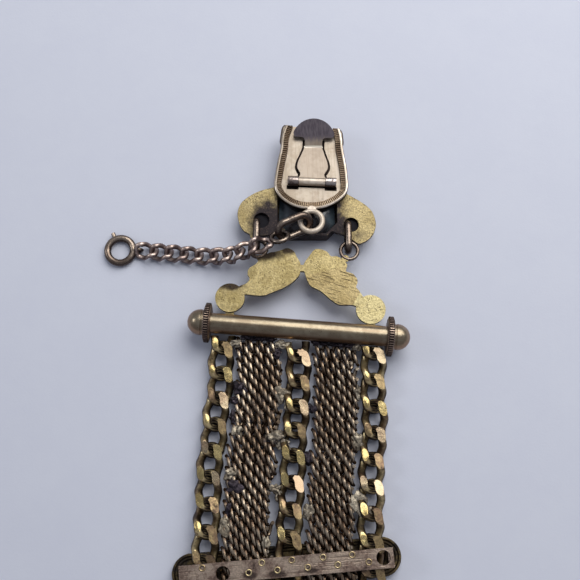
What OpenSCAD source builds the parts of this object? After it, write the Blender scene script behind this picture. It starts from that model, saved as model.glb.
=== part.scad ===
// A chain and mesh watch fob, lying on its front with its back up.
// X runs across the strap, Y along it towards the clip, Z up from the table.
// The parts are drawn about a point near the bar, then moved so that the
// origin is under the middle of the whole fob.

/* [Strap] */
// Length over a curb link
link_len = 6.25; // [6.2:0.05:6.5]
// Width over a curb link
link_w = 4.5; // [4.2:0.05:4.6]
// Wire of a curb link across its end bends
link_wire = 0.9; // [0.8:0.05:0.95]
// Wire of a curb link across its legs
link_leg = 1.3; // [1:0.05:1.4]
// Thickness of a curb link between its two planed faces
link_t = 2.2; // [1.8:0.05:2.3]
// Turn of each end of a curb link out of flat
link_twist = 42; // [38:1:45]
// Thickness of the woven mesh bands
mesh_t = 1.35; // [1:0.05:1.6]
// Height of the strap's middle plane where it sags to the table
strap_low = 1.2; // [1.15:0.05:1.5]

/* [Bar] */
// Length over the two knobs
bar_len = 36.8; // [36:0.1:38]
// Radius of the bar
bar_r = 1.69; // [1.5:0.01:1.7]
// Radius of the milled collars, which stand on the table
collar_r = 3.3; // [3.2:0.05:3.5]
// Thickness of a collar
collar_t = 1.15; // [1:0.05:1.4]
// Radius of the domed knobs
knob_r = 2.15; // [1.8:0.05:2.4]
// Length of a knob
knob_len = 2.75; // [2.4:0.05:3]
// Turn of the bar seen from above
bar_turn = -4.43; // [-6:0.01:-3]

/* [Plates] */
// Thickness of the plaque and of the wing plates
plate_t = 0.8; // [0.6:0.1:1]
// Top of the plaque above the table
plaque_top = 2.9; // [2.9:0.05:3]
// Top of the wing plates above the table
wing_top = 3.4; // [3.35:0.05:3.5]
// Width and length of the stone's setting
setting_w = 11.2; // [11:0.1:11.4]
// Cut of the setting's corners
setting_cut = 2.2; // [2:0.1:2.6]
// Width and length of the stone
stone_w = 9.6; // [9.2:0.1:9.7]

/* [Clip] */
// Thickness of the clip's plate under its flat field
clip_t = 0.5; // [0.4:0.05:0.6]
// Height of the clip's raised rim over its underside
rim_h = 1.2; // [1.1:0.05:1.4]
// Thickness of the lever
lever_t = 0.45; // [0.4:0.05:0.5]
// Radius of the lever's rolled end
barrel_r = 0.7; // [0.6:0.02:0.72]
// Radius of the hinge pin
pin_r = 0.35; // [0.3:0.01:0.36]
// Bend of the thumb tab up from the lever
tab_bend = 15; // [5:1:25]
// Turn of the clip seen from above
clip_turn = -2.5; // [-5:0.5:0]

/* [Slide] */
// Length of the slide's ornamental front
slide_len = 36; // [35:0.5:37]
// Width of the slide's ornamental front
slide_w = 6; // [5:0.5:7]
// Length of the strip across the slide's back
strip_len = 33; // [32.8:0.1:33.4]
// Width of the strip across the slide's back
strip_w = 3; // [2.6:0.1:3.2]
// Turn of the slide seen from above
slide_turn = 4.8; // [4:0.1:5]

/* [Hidden] */
$fn = 48;
gap = 0.08;
half_link_w = link_w - 0.2;

// Bar
bar_mid = [1.4, -7.55];
bar_z = collar_r;
bar_slope = tan(bar_turn);
tube_half = bar_len / 2 - knob_len - collar_t;

// Chains: a row for each link, its middle's y and x, from the bar down
curb_left_rows = [
    [-8.2, -11.0], [-12.5, -11.4], [-16.6, -11.4], [-20.7, -12.1], [-24.9, -12.3],
    [-29.0, -12.9], [-33.25, -13.0], [-37.5, -13.1], [-41.75, -13.2], [-46.0, -13.3]
];
curb_middle_rows = [
    [-9.75, 1.2], [-13.85, 1.4], [-17.95, 1.2], [-21.9, 1.0], [-25.7, 0.6],
    [-29.9, 0.45], [-34.1, 0.15], [-38.3, -0.1], [-42.5, -0.2], [-46.7, -0.3]
];
curb_right_rows = [
    [-9.2, 13.45], [-13.5, 13.75], [-17.8, 13.6], [-22.05, 13.8], [-26.3, 13.4],
    [-30.55, 13.0], [-34.75, 12.85], [-38.95, 12.6], [-43.15, 12.65], [-47.35, 12.7]
];

// Mesh bands: a row for each place down the strap, its y, left edge and right edge
band_left_rows = [
    [-8, -8.9, -1.9], [-15.7, -8.9, -1.5], [-22.2, -9.5, -1.6], [-28.5, -10.35, -2.2],
    [-34.8, -10.7, -2.8], [-42.3, -10.85, -3.1], [-52, -11.0, -3.1]
];
band_right_rows = [
    [-8, 3.7, 11.1], [-19, 3.65, 11.0], [-27, 3.1, 10.75], [-34.8, 2.6, 10.3],
    [-42.3, 2.2, 10.2], [-52, 2.1, 10.25]
];

// Slide and end bar
slide_mid = [-0.5, -44.65];
slide_front_t = 1.2;
strip_t = 0.5;
strip_z = slide_front_t + link_t + 0.2;
post_w = 0.8;
strap_slide_z = (slide_front_t + strip_z) / 2;
strap_bar_z = 2.1;
end_mid = [-0.3, -51.55];
end_r = 1.6;
end_len = 29;
end_turn = -2.9;

// Clip, drawn about its hinge
clip_at = [3.77, 18.15];
clip_z = plaque_top;
field_z = clip_z + clip_t;
band_z = clip_z + rim_h - 0.25;
rim_z = clip_z + rim_h;
rim_w = 0.45;
band_w = 0.85;
hinge_z = field_z + 0.55;
lever_z = field_z + 0.05;
lever_half = 2.25;
ear_r = 0.85;
ear_end = 4.15;
tab_y = 6.45;
tab_r = 3.82;
tab_mid = 7.53;
ring_at = [0.15, -7.35];
ring_z = 4.6;
ring_tilt = [-7, -3.5, 0];
ring_R = 1.87;
ring_r = 0.45;

// Plaque
setting_at = [2.95, 14.4];
setting_wall = 0.5;
ledge_w = 0.65;
ledge_z = 0.6;
stone_cut = 1.9;

// Safety chain
clasp_at = [-29.2, 6.85];
clasp_R = 2.2;
clasp_r = 0.6;
chain_r = 1.1;
chain_route = [
    [-3.7, 6.95, 4.6], [-5.5, 6.4, 5.0], [-7.5, 5.75, 4.3], [-9.6, 5.35, 3.0], [-11.6, 5.45, 1.95],
    [-14.2, 5.55, 1.3], [-16.8, 5.8, 1.15], [-19.5, 6.1, 1.15], [-22.3, 6.35, 1.15], [-25.0, 6.6, 1.15]
];

// Middle of the whole outline, which becomes the origin
x_max = bar_mid[0] + (bar_len / 2 - knob_r) * cos(bar_turn) + knob_r;
x_min = clasp_at[0] - clasp_R - clasp_r;
y_max = clip_at[1] + tab_mid * cos(clip_turn) + tab_r;
y_min = end_mid[1] + end_len / 2 * sin(end_turn) - end_r * cos(end_turn);
middle = [(x_max + x_min) / 2, (y_max + y_min) / 2, 0];

// A value eased from 0 to 1 as t goes from 0 to 1
function ease(t) = let (k = min(1, max(0, t))) k * k * (3 - 2 * k);

// The y of the bar's and the slide's middle lines at x
function bar_line(x) = bar_mid[1] + bar_slope * (x - bar_mid[0]);
function slide_line(x) = slide_mid[1] + tan(slide_turn) * (x - slide_mid[0]);

// Height of the strap's middle plane: high at the bar and in the slide, low between
function strap_z(x, y) =
    strap_low
    + (strap_bar_z - strap_low) * (1 - ease((bar_line(x) - y - bar_r) / 9))
    + (strap_slide_z - strap_low) * (1 - ease((abs(y - slide_line(x)) - 5) / 8));

// A smooth curve through points, closed or open
function blend(a, b, c, d, t) =
    0.5 * (2 * b + (c - a) * t + (2 * a - 5 * b + 4 * c - d) * t * t + (3 * b - a - 3 * c + d) * t * t * t);
function loop_curve(p, steps) = [
    for (i = [0:len(p) - 1], s = [0:steps - 1])
        let (n = len(p))
        blend(p[(i + n - 1) % n], p[i], p[(i + 1) % n], p[(i + 2) % n], s / steps)
];
function open_curve(p, steps) = [
    for (i = [0:len(p) - 2], s = [0:i == len(p) - 2 ? steps : steps - 1])
        blend(p[max(i - 1, 0)], p[i], p[i + 1], p[min(i + 2, len(p) - 1)], s / steps)
];

// An open outline moved to its right-hand side by d
function inset(p, d) = [
    for (i = [0:len(p) - 1])
        let (t = p[min(i + 1, len(p) - 1)] - p[max(i - 1, 0)])
        p[i] + d / norm(t) * [t[1], -t[0]]
];

// An outline down its right side, closed by its mirror image
function mirrored(p) = concat(p, [for (i = [len(p) - 1:-1:0]) [-p[i][0], p[i][1]]]);

// A solid swept through rings of points
module sweep(rings, closed = false) {
    n = len(rings);
    m = len(rings[0]);
    sides = [
        for (i = [0:closed ? n - 1 : n - 2], j = [0:m - 1])
            let (a = i * m, b = (i + 1) % n * m, k = (j + 1) % m)
            each [[a + j, b + k, a + k], [a + j, b + j, b + k]]
    ];
    caps = closed ? [] : [[for (j = [0:m - 1]) j], [for (j = [m - 1:-1:0]) (n - 1) * m + j]];
    polyhedron([for (ring = rings) each ring], concat(sides, caps));
}

// A round wire bent to a ring or to an arc, in the XY plane
module ring(R, r, from = 0, turn = 360) {
    rotate([0, 0, from]) rotate_extrude(angle = turn) translate([R, 0]) circle(r, $fn = 24);
}

// A round wire bent to a long oval, its length along X
module oval(length, width, r) {
    R = width / 2 - r;
    half = length / 2 - width / 2;
    for (side = [0, 180]) rotate([0, 0, side]) {
        translate([half, 0, 0]) ring(R, r, -90, 180);
        translate([-half, R, 0]) rotate([0, 90, 0]) cylinder(r = r, h = 2 * half, $fn = 24);
    }
}

// Everything is drawn about the drawing point and put in place by this
module placed() {
    translate(-middle) children();
}

// CURB LINKS
// One ring of wire points at an angle round a link, before the link is placed.
// Each end of the link is turned out of flat, and both faces are planed.
function link_ring(t, sides, width) =
    let (half_w = (width - link_leg) / 2,
         half_l = (link_len - link_wire) / 2,
         at = [half_w * (cos(t) - 0.1 * cos(3 * t)) / 0.9, half_l * sin(t)],
         along = [half_w * (-sin(t) + 0.3 * sin(3 * t)) / 0.9, half_l * cos(t)],
         out = [along[1], -along[0]] / norm(along),
         across = (link_wire + (link_leg - link_wire) * cos(t) * cos(t)) / 2,
         lean = link_twist * sin(90 * min(1, max(-1, at[1] / half_l * 1.25))))
    [for (j = [0:sides - 1])
        let (s = 360 * (j + 0.5) / sides,
             p = at + across * cos(s) * out,
             h = 0.6 * sin(s),
             z = p[0] * sin(lean) + h * cos(lean))
        [p[0] * cos(lean) - h * sin(lean), p[1], min(link_t / 2, max(-link_t / 2, z))]];

module curb(rows, i) {
    y = rows[i][0];
    x = rows[i][1];
    above = rows[max(0, i - 1)];
    below = rows[min(len(rows) - 1, i + 1)];
    turn = atan2(above[1] - below[1], above[0] - below[0]);
    top = strap_z(x, y + link_len / 2);
    bottom = strap_z(x, y - link_len / 2);
    cut = asin((bar_line(x) - bar_r - 2 * gap - y) / link_len * 2);
    color("goldenrod") placed() translate([x, y, (top + bottom) / 2])
        rotate([atan2(top - bottom, link_len), 0, -turn])
            if (i == 0) {
                sweep([for (k = [0:10]) link_ring(180 - cut + (180 + 2 * cut) * k / 10, 8, half_link_w)]);
            } else {
                sweep([for (k = [0:17]) link_ring(20 * k, 8, link_w)], closed = true);
            }
}

// MESH BANDS
// The band's own rows run parallel to the bar.
function band_ring(rows, row) =
    let (edge = [for (side = [1, 2]) lookup(row, [for (r = rows) [r[0], r[side]]])],
         e = 0.3,
         h = mesh_t / 2)
    [for (c = [[0, e, -h], [1, -e, -h], [1, 0, e - h], [1, 0, h - e],
               [1, -e, h], [0, e, h], [0, 0, h - e], [0, 0, e - h]])
        let (x = edge[c[0]] + c[1],
             y = row + bar_slope * (x - bar_mid[0]))
        [x, y, strap_z(x, y) + c[2]]];

module band(rows) {
    top = bar_mid[1] - bar_r - gap;
    bottom = end_mid[1] + end_r + 0.35;
    steps = 24;
    color("saddlebrown") placed()
        sweep([for (k = [0:steps]) band_ring(rows, top + (bottom - top) * k / steps)]);
}
module mesh_left() band(band_left_rows);
module mesh_right() band(band_right_rows);

// BAR
module on_bar() {
    placed() translate([bar_mid[0], bar_mid[1], bar_z]) rotate([0, 0, bar_turn]) children();
}

module wing_left_outline() polygon(loop_curve([
    [1.75, 3.8], [1.15, 4.9], [0.6, 5.95], [-0.45, 6.45], [-1.45, 6.1], [-2.55, 5.8], [-3.6, 5.6],
    [-5.1, 4.5], [-5.7, 3.7], [-6.9, 2.85], [-7.1, 1.85], [-6.75, 1.15], [-7.3, 0.3], [-8.6, -0.3],
    [-8.6, -1.6], [-7.35, -1.6], [-4.6, -1.8], [-3.0, -1.25], [-0.9, -0.35], [0.7, 0.75],
    [1.6, 1.85], [1.75, 2.85]
], 4));

module wing_right_outline() polygon(loop_curve([
    [2.25, 3.5], [3.4, 5.3], [4.2, 6.2], [5.15, 6.25], [6.25, 5.8], [6.95, 5.0], [7.9, 5.0],
    [9.0, 4.3], [9.6, 3.5], [9.4, 2.4], [10.45, 2.0], [11.1, 1.3], [11.3, 0.55], [11.05, -0.35],
    [11.5, -0.95], [12.3, -2.2], [13.0, -3.2], [12.0, -3.9], [10.35, -3.4], [9.3, -3.4],
    [8.05, -3.3], [6.75, -2.45], [5.1, -1.0], [3.5, -0.15], [2.85, 0.95], [2.45, 2.25]
], 4));

module small_ring(at) {
    translate([at[0], at[1], 2.75]) ring(1.525, 0.225);
}

module bar_bracket() {
    disc_left = [-10, -2.15];
    disc_right = [13.4, -4.15];
    disc_r = 2.45;
    lug_w = 1.4;
    color("darkkhaki") {
        placed() translate([0, 0, wing_top - plate_t]) linear_extrude(plate_t) {
            wing_left_outline();
            wing_right_outline();
            translate([1.4, 2.4]) square([1.1, 1.1]);
            for (disc = [disc_left, disc_right]) translate(disc) circle(disc_r);
        }
        placed() translate([0, 0, wing_top - plate_t]) linear_extrude(plate_t / 2)
            for (disc = [disc_left, disc_right]) translate(disc - [lug_w / 2, disc_r + 0.5])
                square([lug_w, 1]);
        placed() {
            small_ring([-5.4, 6.5]);
            small_ring([10.03, 6.13]);
            translate([-5.15, 4.9, wing_top - plate_t]) cylinder(r = 0.5, h = 0.35);
            translate([9.35, 4.75, wing_top - plate_t]) cylinder(r = 0.6, h = 0.35);
        }
    }
    color("peru") on_bar() translate([-tube_half, 0, 0]) rotate([0, 90, 0])
        cylinder(r = bar_r, h = 2 * tube_half);
}

module collar(side) {
    edge = 0.25;
    color("sienna") on_bar() rotate([0, 90 * side, 0]) translate([0, 0, tube_half])
        rotate_extrude() polygon([
            [0, 0], [collar_r - edge, 0], [collar_r, edge], [collar_r, collar_t - edge],
            [collar_r - edge, collar_t], [0, collar_t]
        ]);
}
module collar_left() collar(-1);
module collar_right() collar(1);

module knob(side) {
    color("peru") on_bar() rotate([0, 90 * side, 0]) translate([0, 0, tube_half + collar_t]) {
        cylinder(r = knob_r, h = knob_len - knob_r);
        translate([0, 0, knob_len - knob_r]) intersection() {
            sphere(knob_r);
            cylinder(r = knob_r + 1, h = knob_r + 1);
        }
    }
}
module knob_left() knob(-1);
module knob_right() knob(1);

// PLAQUE
// A square with cut corners
module cut_square(half, cut) {
    c = half - cut;
    polygon([[half, c], [c, half], [-c, half], [-half, c], [-half, -c], [-c, -half], [c, -half], [half, -c]]);
}

// The setting's outline between two heights, moved in by d
module setting_slab(from, to, d) {
    translate([setting_at[0], setting_at[1], from]) linear_extrude(to - from + (d > 0 ? 1 : 0))
        cut_square(setting_w / 2 - d, setting_cut - 0.6 * d);
}

module plaque() {
    left_hole = [-4.9, 11.55];
    right_hole = [10.45, 10.75];
    color("darkkhaki") placed() difference() {
        union() {
            translate([0, 0, plaque_top - plate_t]) linear_extrude(plate_t) polygon(loop_curve([
                [-8.95, 13.2], [-8.4, 14.7], [-7.2, 15.8], [-5.7, 16.7], [-4.1, 17.25], [-2.75, 17.6],
                [0, 18.6], [2.75, 18.9], [6, 18.3], [9.8, 16.35], [12.2, 14.9], [13.4, 13.95],
                [14.2, 12.9], [14.6, 11.6], [14.65, 10.5], [14.2, 9.1], [13.25, 8.05], [12.0, 7.4],
                [11.3, 7.5], [9.7, 8.75], [8.0, 9.3], [6.5, 9.8], [2.75, 10.2], [-1.2, 9.9],
                [-3.6, 8.9], [-5.4, 8.75], [-6.6, 8.35], [-6.95, 9.05], [-7.9, 9.7], [-8.55, 10.7],
                [-8.95, 12.1]
            ], 4));
            setting_slab(0, plaque_top, 0);
        }
        setting_slab(ledge_z, plaque_top, setting_wall);
        setting_slab(-1, plaque_top, setting_wall + ledge_w);
        translate([left_hole[0], left_hole[1], -1]) cylinder(r = 1.35, h = 6);
        translate([right_hole[0], right_hole[1], -1]) cylinder(r = 1.25, h = 6);
    }
}

// A thin slab of the stone's outline, at a height and a size
module stone_step(z, size) {
    translate([0, 0, z]) linear_extrude(0.05) cut_square(stone_w / 2 * size, stone_cut * size);
}

module stone() {
    color("darkslategray") placed() translate([setting_at[0], setting_at[1], 0]) hull() {
        stone_step(0.1, 0.66);
        stone_step(0.9, 1);
        stone_step(1.05, 1);
        stone_step(1.7, 0.74);
        stone_step(2.15, 0.45);
    }
}

// An oval link standing on its edge, through a hole of the plaque and a small ring
module plaque_link(at, length, turn) {
    color("rosybrown") placed() translate([at[0], at[1], 2.5]) rotate([0, 0, turn])
        rotate([0, -90, 90]) rotate([0, 0, 90]) oval(length, 3.24, 0.5);
}
module plaque_link_left() plaque_link([-5.68, 9.05], 6, 90);
module plaque_link_right() plaque_link([9.88, 8.6], 6, 90);

// CLIP
module on_clip() {
    placed() translate([clip_at[0], clip_at[1], 0]) rotate([0, 0, clip_turn]) children();
}

clip_outline = open_curve([
    [4.5, 10.15], [4.95, 8.4], [5.2, 6.3], [5.8, 3.4], [6.15, 0.9], [6.25, -0.6], [5.9, -2.0],
    [4.6, -3.4], [2.4, -4.6], [0, -5.0], [-2.5, -4.75], [-4.65, -3.7], [-6.0, -2.3], [-6.5, -0.8],
    [-6.4, 0.8], [-6.1, 3.4], [-5.7, 6.1], [-5.6, 8.3], [-5.0, 10.4]
], 4);

// The outline moved in by d, carried on past the clip's open top
function clip_inner(d) =
    let (p = inset(clip_outline, d))
    concat([p[0] + [0, 2]], p, [p[len(p) - 1] + [0, 2]]);

// The lever's flat shank, down its right side, and the groove in the field round it
shank = open_curve([
    [1.6, tab_y + 0.1], [1.68, 6.2], [2.12, 4.95], [2.56, 3.85], [2.74, 2.8],
    [2.5, 2.1], [2.15, 1.5], [lever_half, 0.9], [lever_half, 0.1]
], 4);
groove_w = 0.32;
groove_z = clip_z + 0.15;
groove = concat([[1.6 + groove_w, 7.9]], [for (p = inset(shank, -groove_w)) if (p[1] > 0.8) p]);

module clip_plate() {
    window_y = 0.85;
    color("tan") on_clip() difference() {
        union() {
            difference() {
                translate([0, 0, clip_z]) linear_extrude(rim_h) polygon(clip_outline);
                translate([0, 0, band_z]) linear_extrude(2) polygon(clip_inner(rim_w));
                translate([0, 0, field_z]) linear_extrude(2) polygon(clip_inner(rim_w + band_w));
                translate([-lever_half - gap, -window_y, 0]) cube([2 * lever_half + 2 * gap, 2 * window_y, 9]);
                translate([0, 0, groove_z]) linear_extrude(2) polygon(mirrored(groove));
                for (side = [0, 1]) mirror([side, 0, 0])
                    translate([lever_half, -1.3, groove_z]) cube([2.05, 0.7, 9]);
            }
            for (side = [0, 1]) mirror([side, 0, 0]) translate([lever_half + gap, 0, hinge_z]) {
                rotate([0, 90, 0]) cylinder(r = ear_r, h = ear_end - lever_half - gap);
                translate([0, -0.5, clip_z - hinge_z + 0.1]) cube([ear_end - lever_half - gap, 1, 0.9]);
            }
            translate([ring_at[0], ring_at[1], ring_z]) rotate(ring_tilt) ring(ring_R, ring_r);
            translate([ring_at[0], ring_at[1] + ring_R + 0.3, field_z]) cylinder(r = 0.7, h = ring_z - field_z - 0.2);
        }
        translate([-5, 0, hinge_z]) rotate([0, 90, 0]) cylinder(r = pin_r + 0.02, h = 10);
    }
}

module clip_pin() {
    color("dimgray") on_clip() translate([-ear_end, 0, hinge_z]) rotate([0, 90, 0])
        cylinder(r = pin_r, h = 2 * ear_end);
}

// The lever: a rolled end round the pin, a flat shank and a half-moon thumb tab
module clip_lever() {
    grow = 1 / cos(tab_bend);
    tip = 20.5;
    step = (90 - tip) / 8.5;
    tab = concat(
        [[1.6, 0], [1.5, 0.6], [1.52, 1.25], [1.7, 1.6], [2.1, 1.75], [3.1, 1.75], [3.45, 1.95]],
        [for (i = [0:8]) let (a = tip + i * step) [tab_r * cos(a), tab_mid + tab_r * sin(a) - tab_y]]);
    color("tan") on_clip() difference() {
        union() {
            translate([0, 0, lever_z]) linear_extrude(lever_t) polygon(mirrored(shank));
            translate([-lever_half, 0, hinge_z]) rotate([0, 90, 0]) cylinder(r = barrel_r, h = 2 * lever_half);
            translate([0, tab_y, lever_z]) rotate([tab_bend, 0, 0]) linear_extrude(lever_t)
                polygon([for (p = mirrored(tab)) [p[0], p[1] * grow]]);
        }
        translate([-5, 0, hinge_z]) rotate([0, 90, 0]) cylinder(r = pin_r + 0.04, h = 10);
    }
}

// SAFETY CHAIN
module clip_link() {
    color("rosybrown") placed() translate([0.7, 9.75, 4.9]) rotate([50, 4, 24.5]) oval(7, 4.3, 0.5);
}

module chain_link() {
    color("rosybrown") placed() translate([-1.72, 7.95, 4.9]) rotate([-41, 0, 16]) ring(1.45, 0.4);
}

module safety_chain() {
    path = open_curve(chain_route, 3);
    sides = 8;
    color("sienna") placed() sweep([
        for (i = [0:len(path) - 1])
            let (t = path[min(i + 1, len(path) - 1)] - path[max(i - 1, 0)],
                 across = [-t[1], t[0], 0] / norm([t[0], t[1]]),
                 up = cross(t, across) / norm(t))
            [for (j = [0:sides - 1]) path[i] + chain_r * (cos(360 * j / sides) * across + sin(360 * j / sides) * up)]
    ]);
}

// A plain ring with an eye for the chain and a thumb knob, all one piece
module chain_clasp() {
    color("rosybrown") placed() translate([clasp_at[0], clasp_at[1], clasp_r]) {
        ring(clasp_R, clasp_r);
        translate([clasp_R + clasp_r + 0.4, 0, 0.25]) rotate([90, 0, 0]) ring(0.55, 0.3);
        rotate([0, 0, 115]) translate([clasp_R + clasp_r - 0.1, 0, 0]) rotate([0, 90, 0]) cylinder(r = 0.35, h = 0.7);
    }
}

// SLIDE
module on_slide() {
    placed() translate([slide_mid[0], slide_mid[1], 0]) rotate([0, 0, slide_turn]) children();
}

module slide_front() {
    half = slide_len / 2 - slide_w / 2;
    color("darkkhaki") on_slide() linear_extrude(slide_front_t) {
        square([2 * half, slide_w], center = true);
        for (side = [-1, 1]) translate([side * half, 0]) circle(slide_w / 2);
    }
}

// The strip across the back, on a post at each end, with two holes and two rows of rimmed rivets
module slide_back() {
    rivets = [
        for (x = [-12.9, -3.75, 0.85, 5.65, 10.15]) [x, 0.92],
        for (x = [-5.85, -1.45, 3.2, 7.8, 12.6]) [x, -0.35]
    ];
    color("rosybrown") on_slide() {
        difference() {
            translate([-strip_len / 2, -strip_w / 2, strip_z]) cube([strip_len, strip_w, strip_t]);
            translate([-9.8, -0.15, 0]) cylinder(r = 1.08, h = 9);
            translate([14.9, 0.1, 0]) cylinder(r = 1.1, h = 9);
            for (at = rivets) translate([at[0], at[1], strip_z + 0.2]) cylinder(r = 0.34, h = 9);
        }
        for (side = [-1, 1]) translate([side * (strip_len - post_w) / 2, 0, (slide_front_t + strip_z) / 2])
            cube([post_w, strip_w - 0.6, strip_z - slide_front_t], center = true);
        for (at = rivets) translate([at[0], at[1], strip_z + strip_t]) ring(0.42, 0.12);
    }
}

module end_bar() {
    color("rosybrown") placed() translate([end_mid[0], end_mid[1], end_r]) rotate([0, 90, end_turn])
        cylinder(r = end_r, h = end_len, center = true);
}

clip_plate();
clip_pin();
clip_lever();
plaque();
stone();
plaque_link_left();
plaque_link_right();
bar_bracket();
collar_left();
collar_right();
knob_left();
knob_right();
clip_link();
chain_link();
safety_chain();
chain_clasp();
mesh_left();
mesh_right();
slide_front();
slide_back();
end_bar();
for (i = [0:9]) {
    curb(curb_left_rows, i);
    curb(curb_middle_rows, i);
    curb(curb_right_rows, i);
}
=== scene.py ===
# %% [markdown]
# # A chain and mesh watch fob
# A vest fob lies on its front, so that its unadorned back shows: a spring clip, a plaque with the open
# back of a stone's setting, two scalloped plates on a bar, and a strap of three curb chains with two
# bands of woven wire between them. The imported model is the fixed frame, in metres. Every piece below is
# placed by it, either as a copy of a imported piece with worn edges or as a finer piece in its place.

# %% Load the frame
import math
import random

import bmesh
import bpy
from mathutils import Euler, Matrix, Vector, noise


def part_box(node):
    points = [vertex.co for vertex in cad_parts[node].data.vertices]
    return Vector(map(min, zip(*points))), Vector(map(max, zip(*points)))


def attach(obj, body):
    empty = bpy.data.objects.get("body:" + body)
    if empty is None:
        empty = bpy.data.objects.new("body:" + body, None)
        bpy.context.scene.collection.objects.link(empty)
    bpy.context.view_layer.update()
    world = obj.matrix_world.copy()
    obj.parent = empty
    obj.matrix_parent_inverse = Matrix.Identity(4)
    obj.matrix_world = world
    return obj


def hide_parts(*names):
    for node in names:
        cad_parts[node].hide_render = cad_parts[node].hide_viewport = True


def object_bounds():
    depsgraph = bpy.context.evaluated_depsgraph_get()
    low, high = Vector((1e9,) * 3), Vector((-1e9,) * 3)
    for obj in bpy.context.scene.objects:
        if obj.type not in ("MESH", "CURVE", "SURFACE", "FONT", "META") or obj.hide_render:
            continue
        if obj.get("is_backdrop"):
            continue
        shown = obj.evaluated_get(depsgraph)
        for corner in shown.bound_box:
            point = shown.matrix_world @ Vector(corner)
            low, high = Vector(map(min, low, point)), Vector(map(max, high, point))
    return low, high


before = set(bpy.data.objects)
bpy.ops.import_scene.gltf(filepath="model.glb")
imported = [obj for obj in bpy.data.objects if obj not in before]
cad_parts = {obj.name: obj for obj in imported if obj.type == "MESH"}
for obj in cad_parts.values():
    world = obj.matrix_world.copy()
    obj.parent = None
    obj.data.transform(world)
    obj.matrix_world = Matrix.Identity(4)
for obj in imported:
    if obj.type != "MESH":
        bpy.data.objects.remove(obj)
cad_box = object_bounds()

# %% [markdown]
# ## Millimetres
# A jeweller works in millimetres, and the construction was drawn in them about a point near the bar.
# Shapes are modelled at that scale and moved into the frame at the very end, which keeps the numbers
# readable. The stone's middle ties the drawing to the frame, so the two can't drift apart.

# %% Tie the drawing to the frame
def placed(name, data):
    """A new object in the scene."""
    item = bpy.data.objects.new(name, data)
    bpy.context.scene.collection.objects.link(item)
    return item


MM = 0.001
STONE_MIDDLE = Vector((2.95, 14.4, 0.0))
stone_low, stone_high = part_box("stone")
stone_at = (stone_low + stone_high) / 2
drawing_point = Vector((stone_at.x, stone_at.y, 0.0)) - STONE_MIDDLE * MM
TO_FRAME = Matrix.Translation(drawing_point) @ Matrix.Scale(MM, 4)
TO_DRAWING = TO_FRAME.inverted()
print("the drawing point is at", [round(c / MM, 3) for c in drawing_point], "mm")

# %% [markdown]
# ## Camera
# The photograph looks down from a little way back along the strap. Lines that are square on the fob stay
# nearly square in the picture, so the camera is high, and the nearer end of the strap is only slightly
# wider. A photograph's focal length in pixels becomes Blender's lens by the sensor's width.

# %% Place the camera
PHOTO_SIDE = 580
FOCAL_PIXELS = 819
SENSOR_MM = 36
CAMERA_RISE = math.radians(76)
CAMERA_DISTANCE = 140 * MM

lens = bpy.data.cameras.new("camera")
lens.sensor_width = SENSOR_MM
lens.lens = FOCAL_PIXELS / PHOTO_SIDE * SENSOR_MM
lens.clip_start = 1 * MM
camera = placed("camera", lens)
back = Vector((0.0, -math.cos(CAMERA_RISE), math.sin(CAMERA_RISE)))
camera.location = drawing_point + CAMERA_DISTANCE * back
camera.rotation_euler = (math.radians(90) - CAMERA_RISE, 0.0, 0.0)
bpy.context.scene.camera = camera
print("lens", round(lens.lens, 2), "mm")

# %% [markdown]
# ## Light
# Polished metal shows what is around it. One broad soft light, high beyond the clip and a little to the
# right, makes the flat backs glow and drops soft shadows towards the viewer and to the left. The room
# stays dim, and that is what gives wires and links their dark flanks. Two small lamps draw thin bright
# lines along the wires.

# %% Set the lights
# Each light: its name, its place and size in mm, its power in watts and its colour
LIGHTS = [
    ("window", (100, 190, 270), 310, 1.0, (1.0, 0.985, 0.965)),
    ("left lamp", (-400, 60, 280), 120, 0.26, (0.92, 0.95, 1.0)),
    ("right lamp", (380, 160, 300), 120, 0.16, (1.0, 0.97, 0.93)),
]
ROOM_COLOUR = (0.80, 0.84, 1.0, 1.0)
ROOM_STRENGTH = 0.23

for name, place, size, power, colour in LIGHTS:
    lamp = bpy.data.lights.new(name, "AREA")
    lamp.shape = "SQUARE"
    lamp.size = size * MM
    lamp.energy = power
    lamp.color = colour
    light = placed(name, lamp)
    light.location = drawing_point + Vector(place) * MM
    light.rotation_euler = Vector(place).to_track_quat("Z", "Y").to_euler()

world = bpy.data.worlds.new("room")
world.use_nodes = True
room = world.node_tree.nodes["Background"]
room.inputs["Color"].default_value = ROOM_COLOUR
room.inputs["Strength"].default_value = ROOM_STRENGTH
bpy.context.scene.world = world
bpy.context.scene.view_settings.view_transform = "Standard"
print(len(bpy.data.lights), "lights")

# %% [markdown]
# ## Node helpers
# A material is a small graph. One helper adds a node, fills its sockets with values or links, and gives
# it back, so that a graph reads like a sum. Another opens a group with named inputs and outputs: what
# several finishes share, such as patina or scratches, is built once and placed with its own values.

# %% Helpers for node graphs
def put(tree, kind, inputs=None, **settings):
    """A new node with its settings, and its inputs filled by value or by link."""
    node = tree.nodes.new("ShaderNode" + kind)
    for name, value in settings.items():
        setattr(node, name, value)
    for key, value in (inputs or {}).items():
        if isinstance(value, bpy.types.NodeSocket):
            tree.links.new(value, node.inputs[key])
        else:
            node.inputs[key].default_value = value
    return node


def open_group(name, inputs, output):
    """A new group with number inputs and one number output: its tree, its inputs and its end."""
    tree = bpy.data.node_groups.new(name, "ShaderNodeTree")
    for label, value in inputs.items():
        socket = tree.interface.new_socket(label, in_out="INPUT", socket_type="NodeSocketFloat")
        socket.default_value = value
    tree.interface.new_socket(output, in_out="OUTPUT", socket_type="NodeSocketFloat")
    start = tree.nodes.new("NodeGroupInput")
    end = tree.nodes.new("NodeGroupOutput")
    return tree, start.outputs, end.inputs[0]


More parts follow.
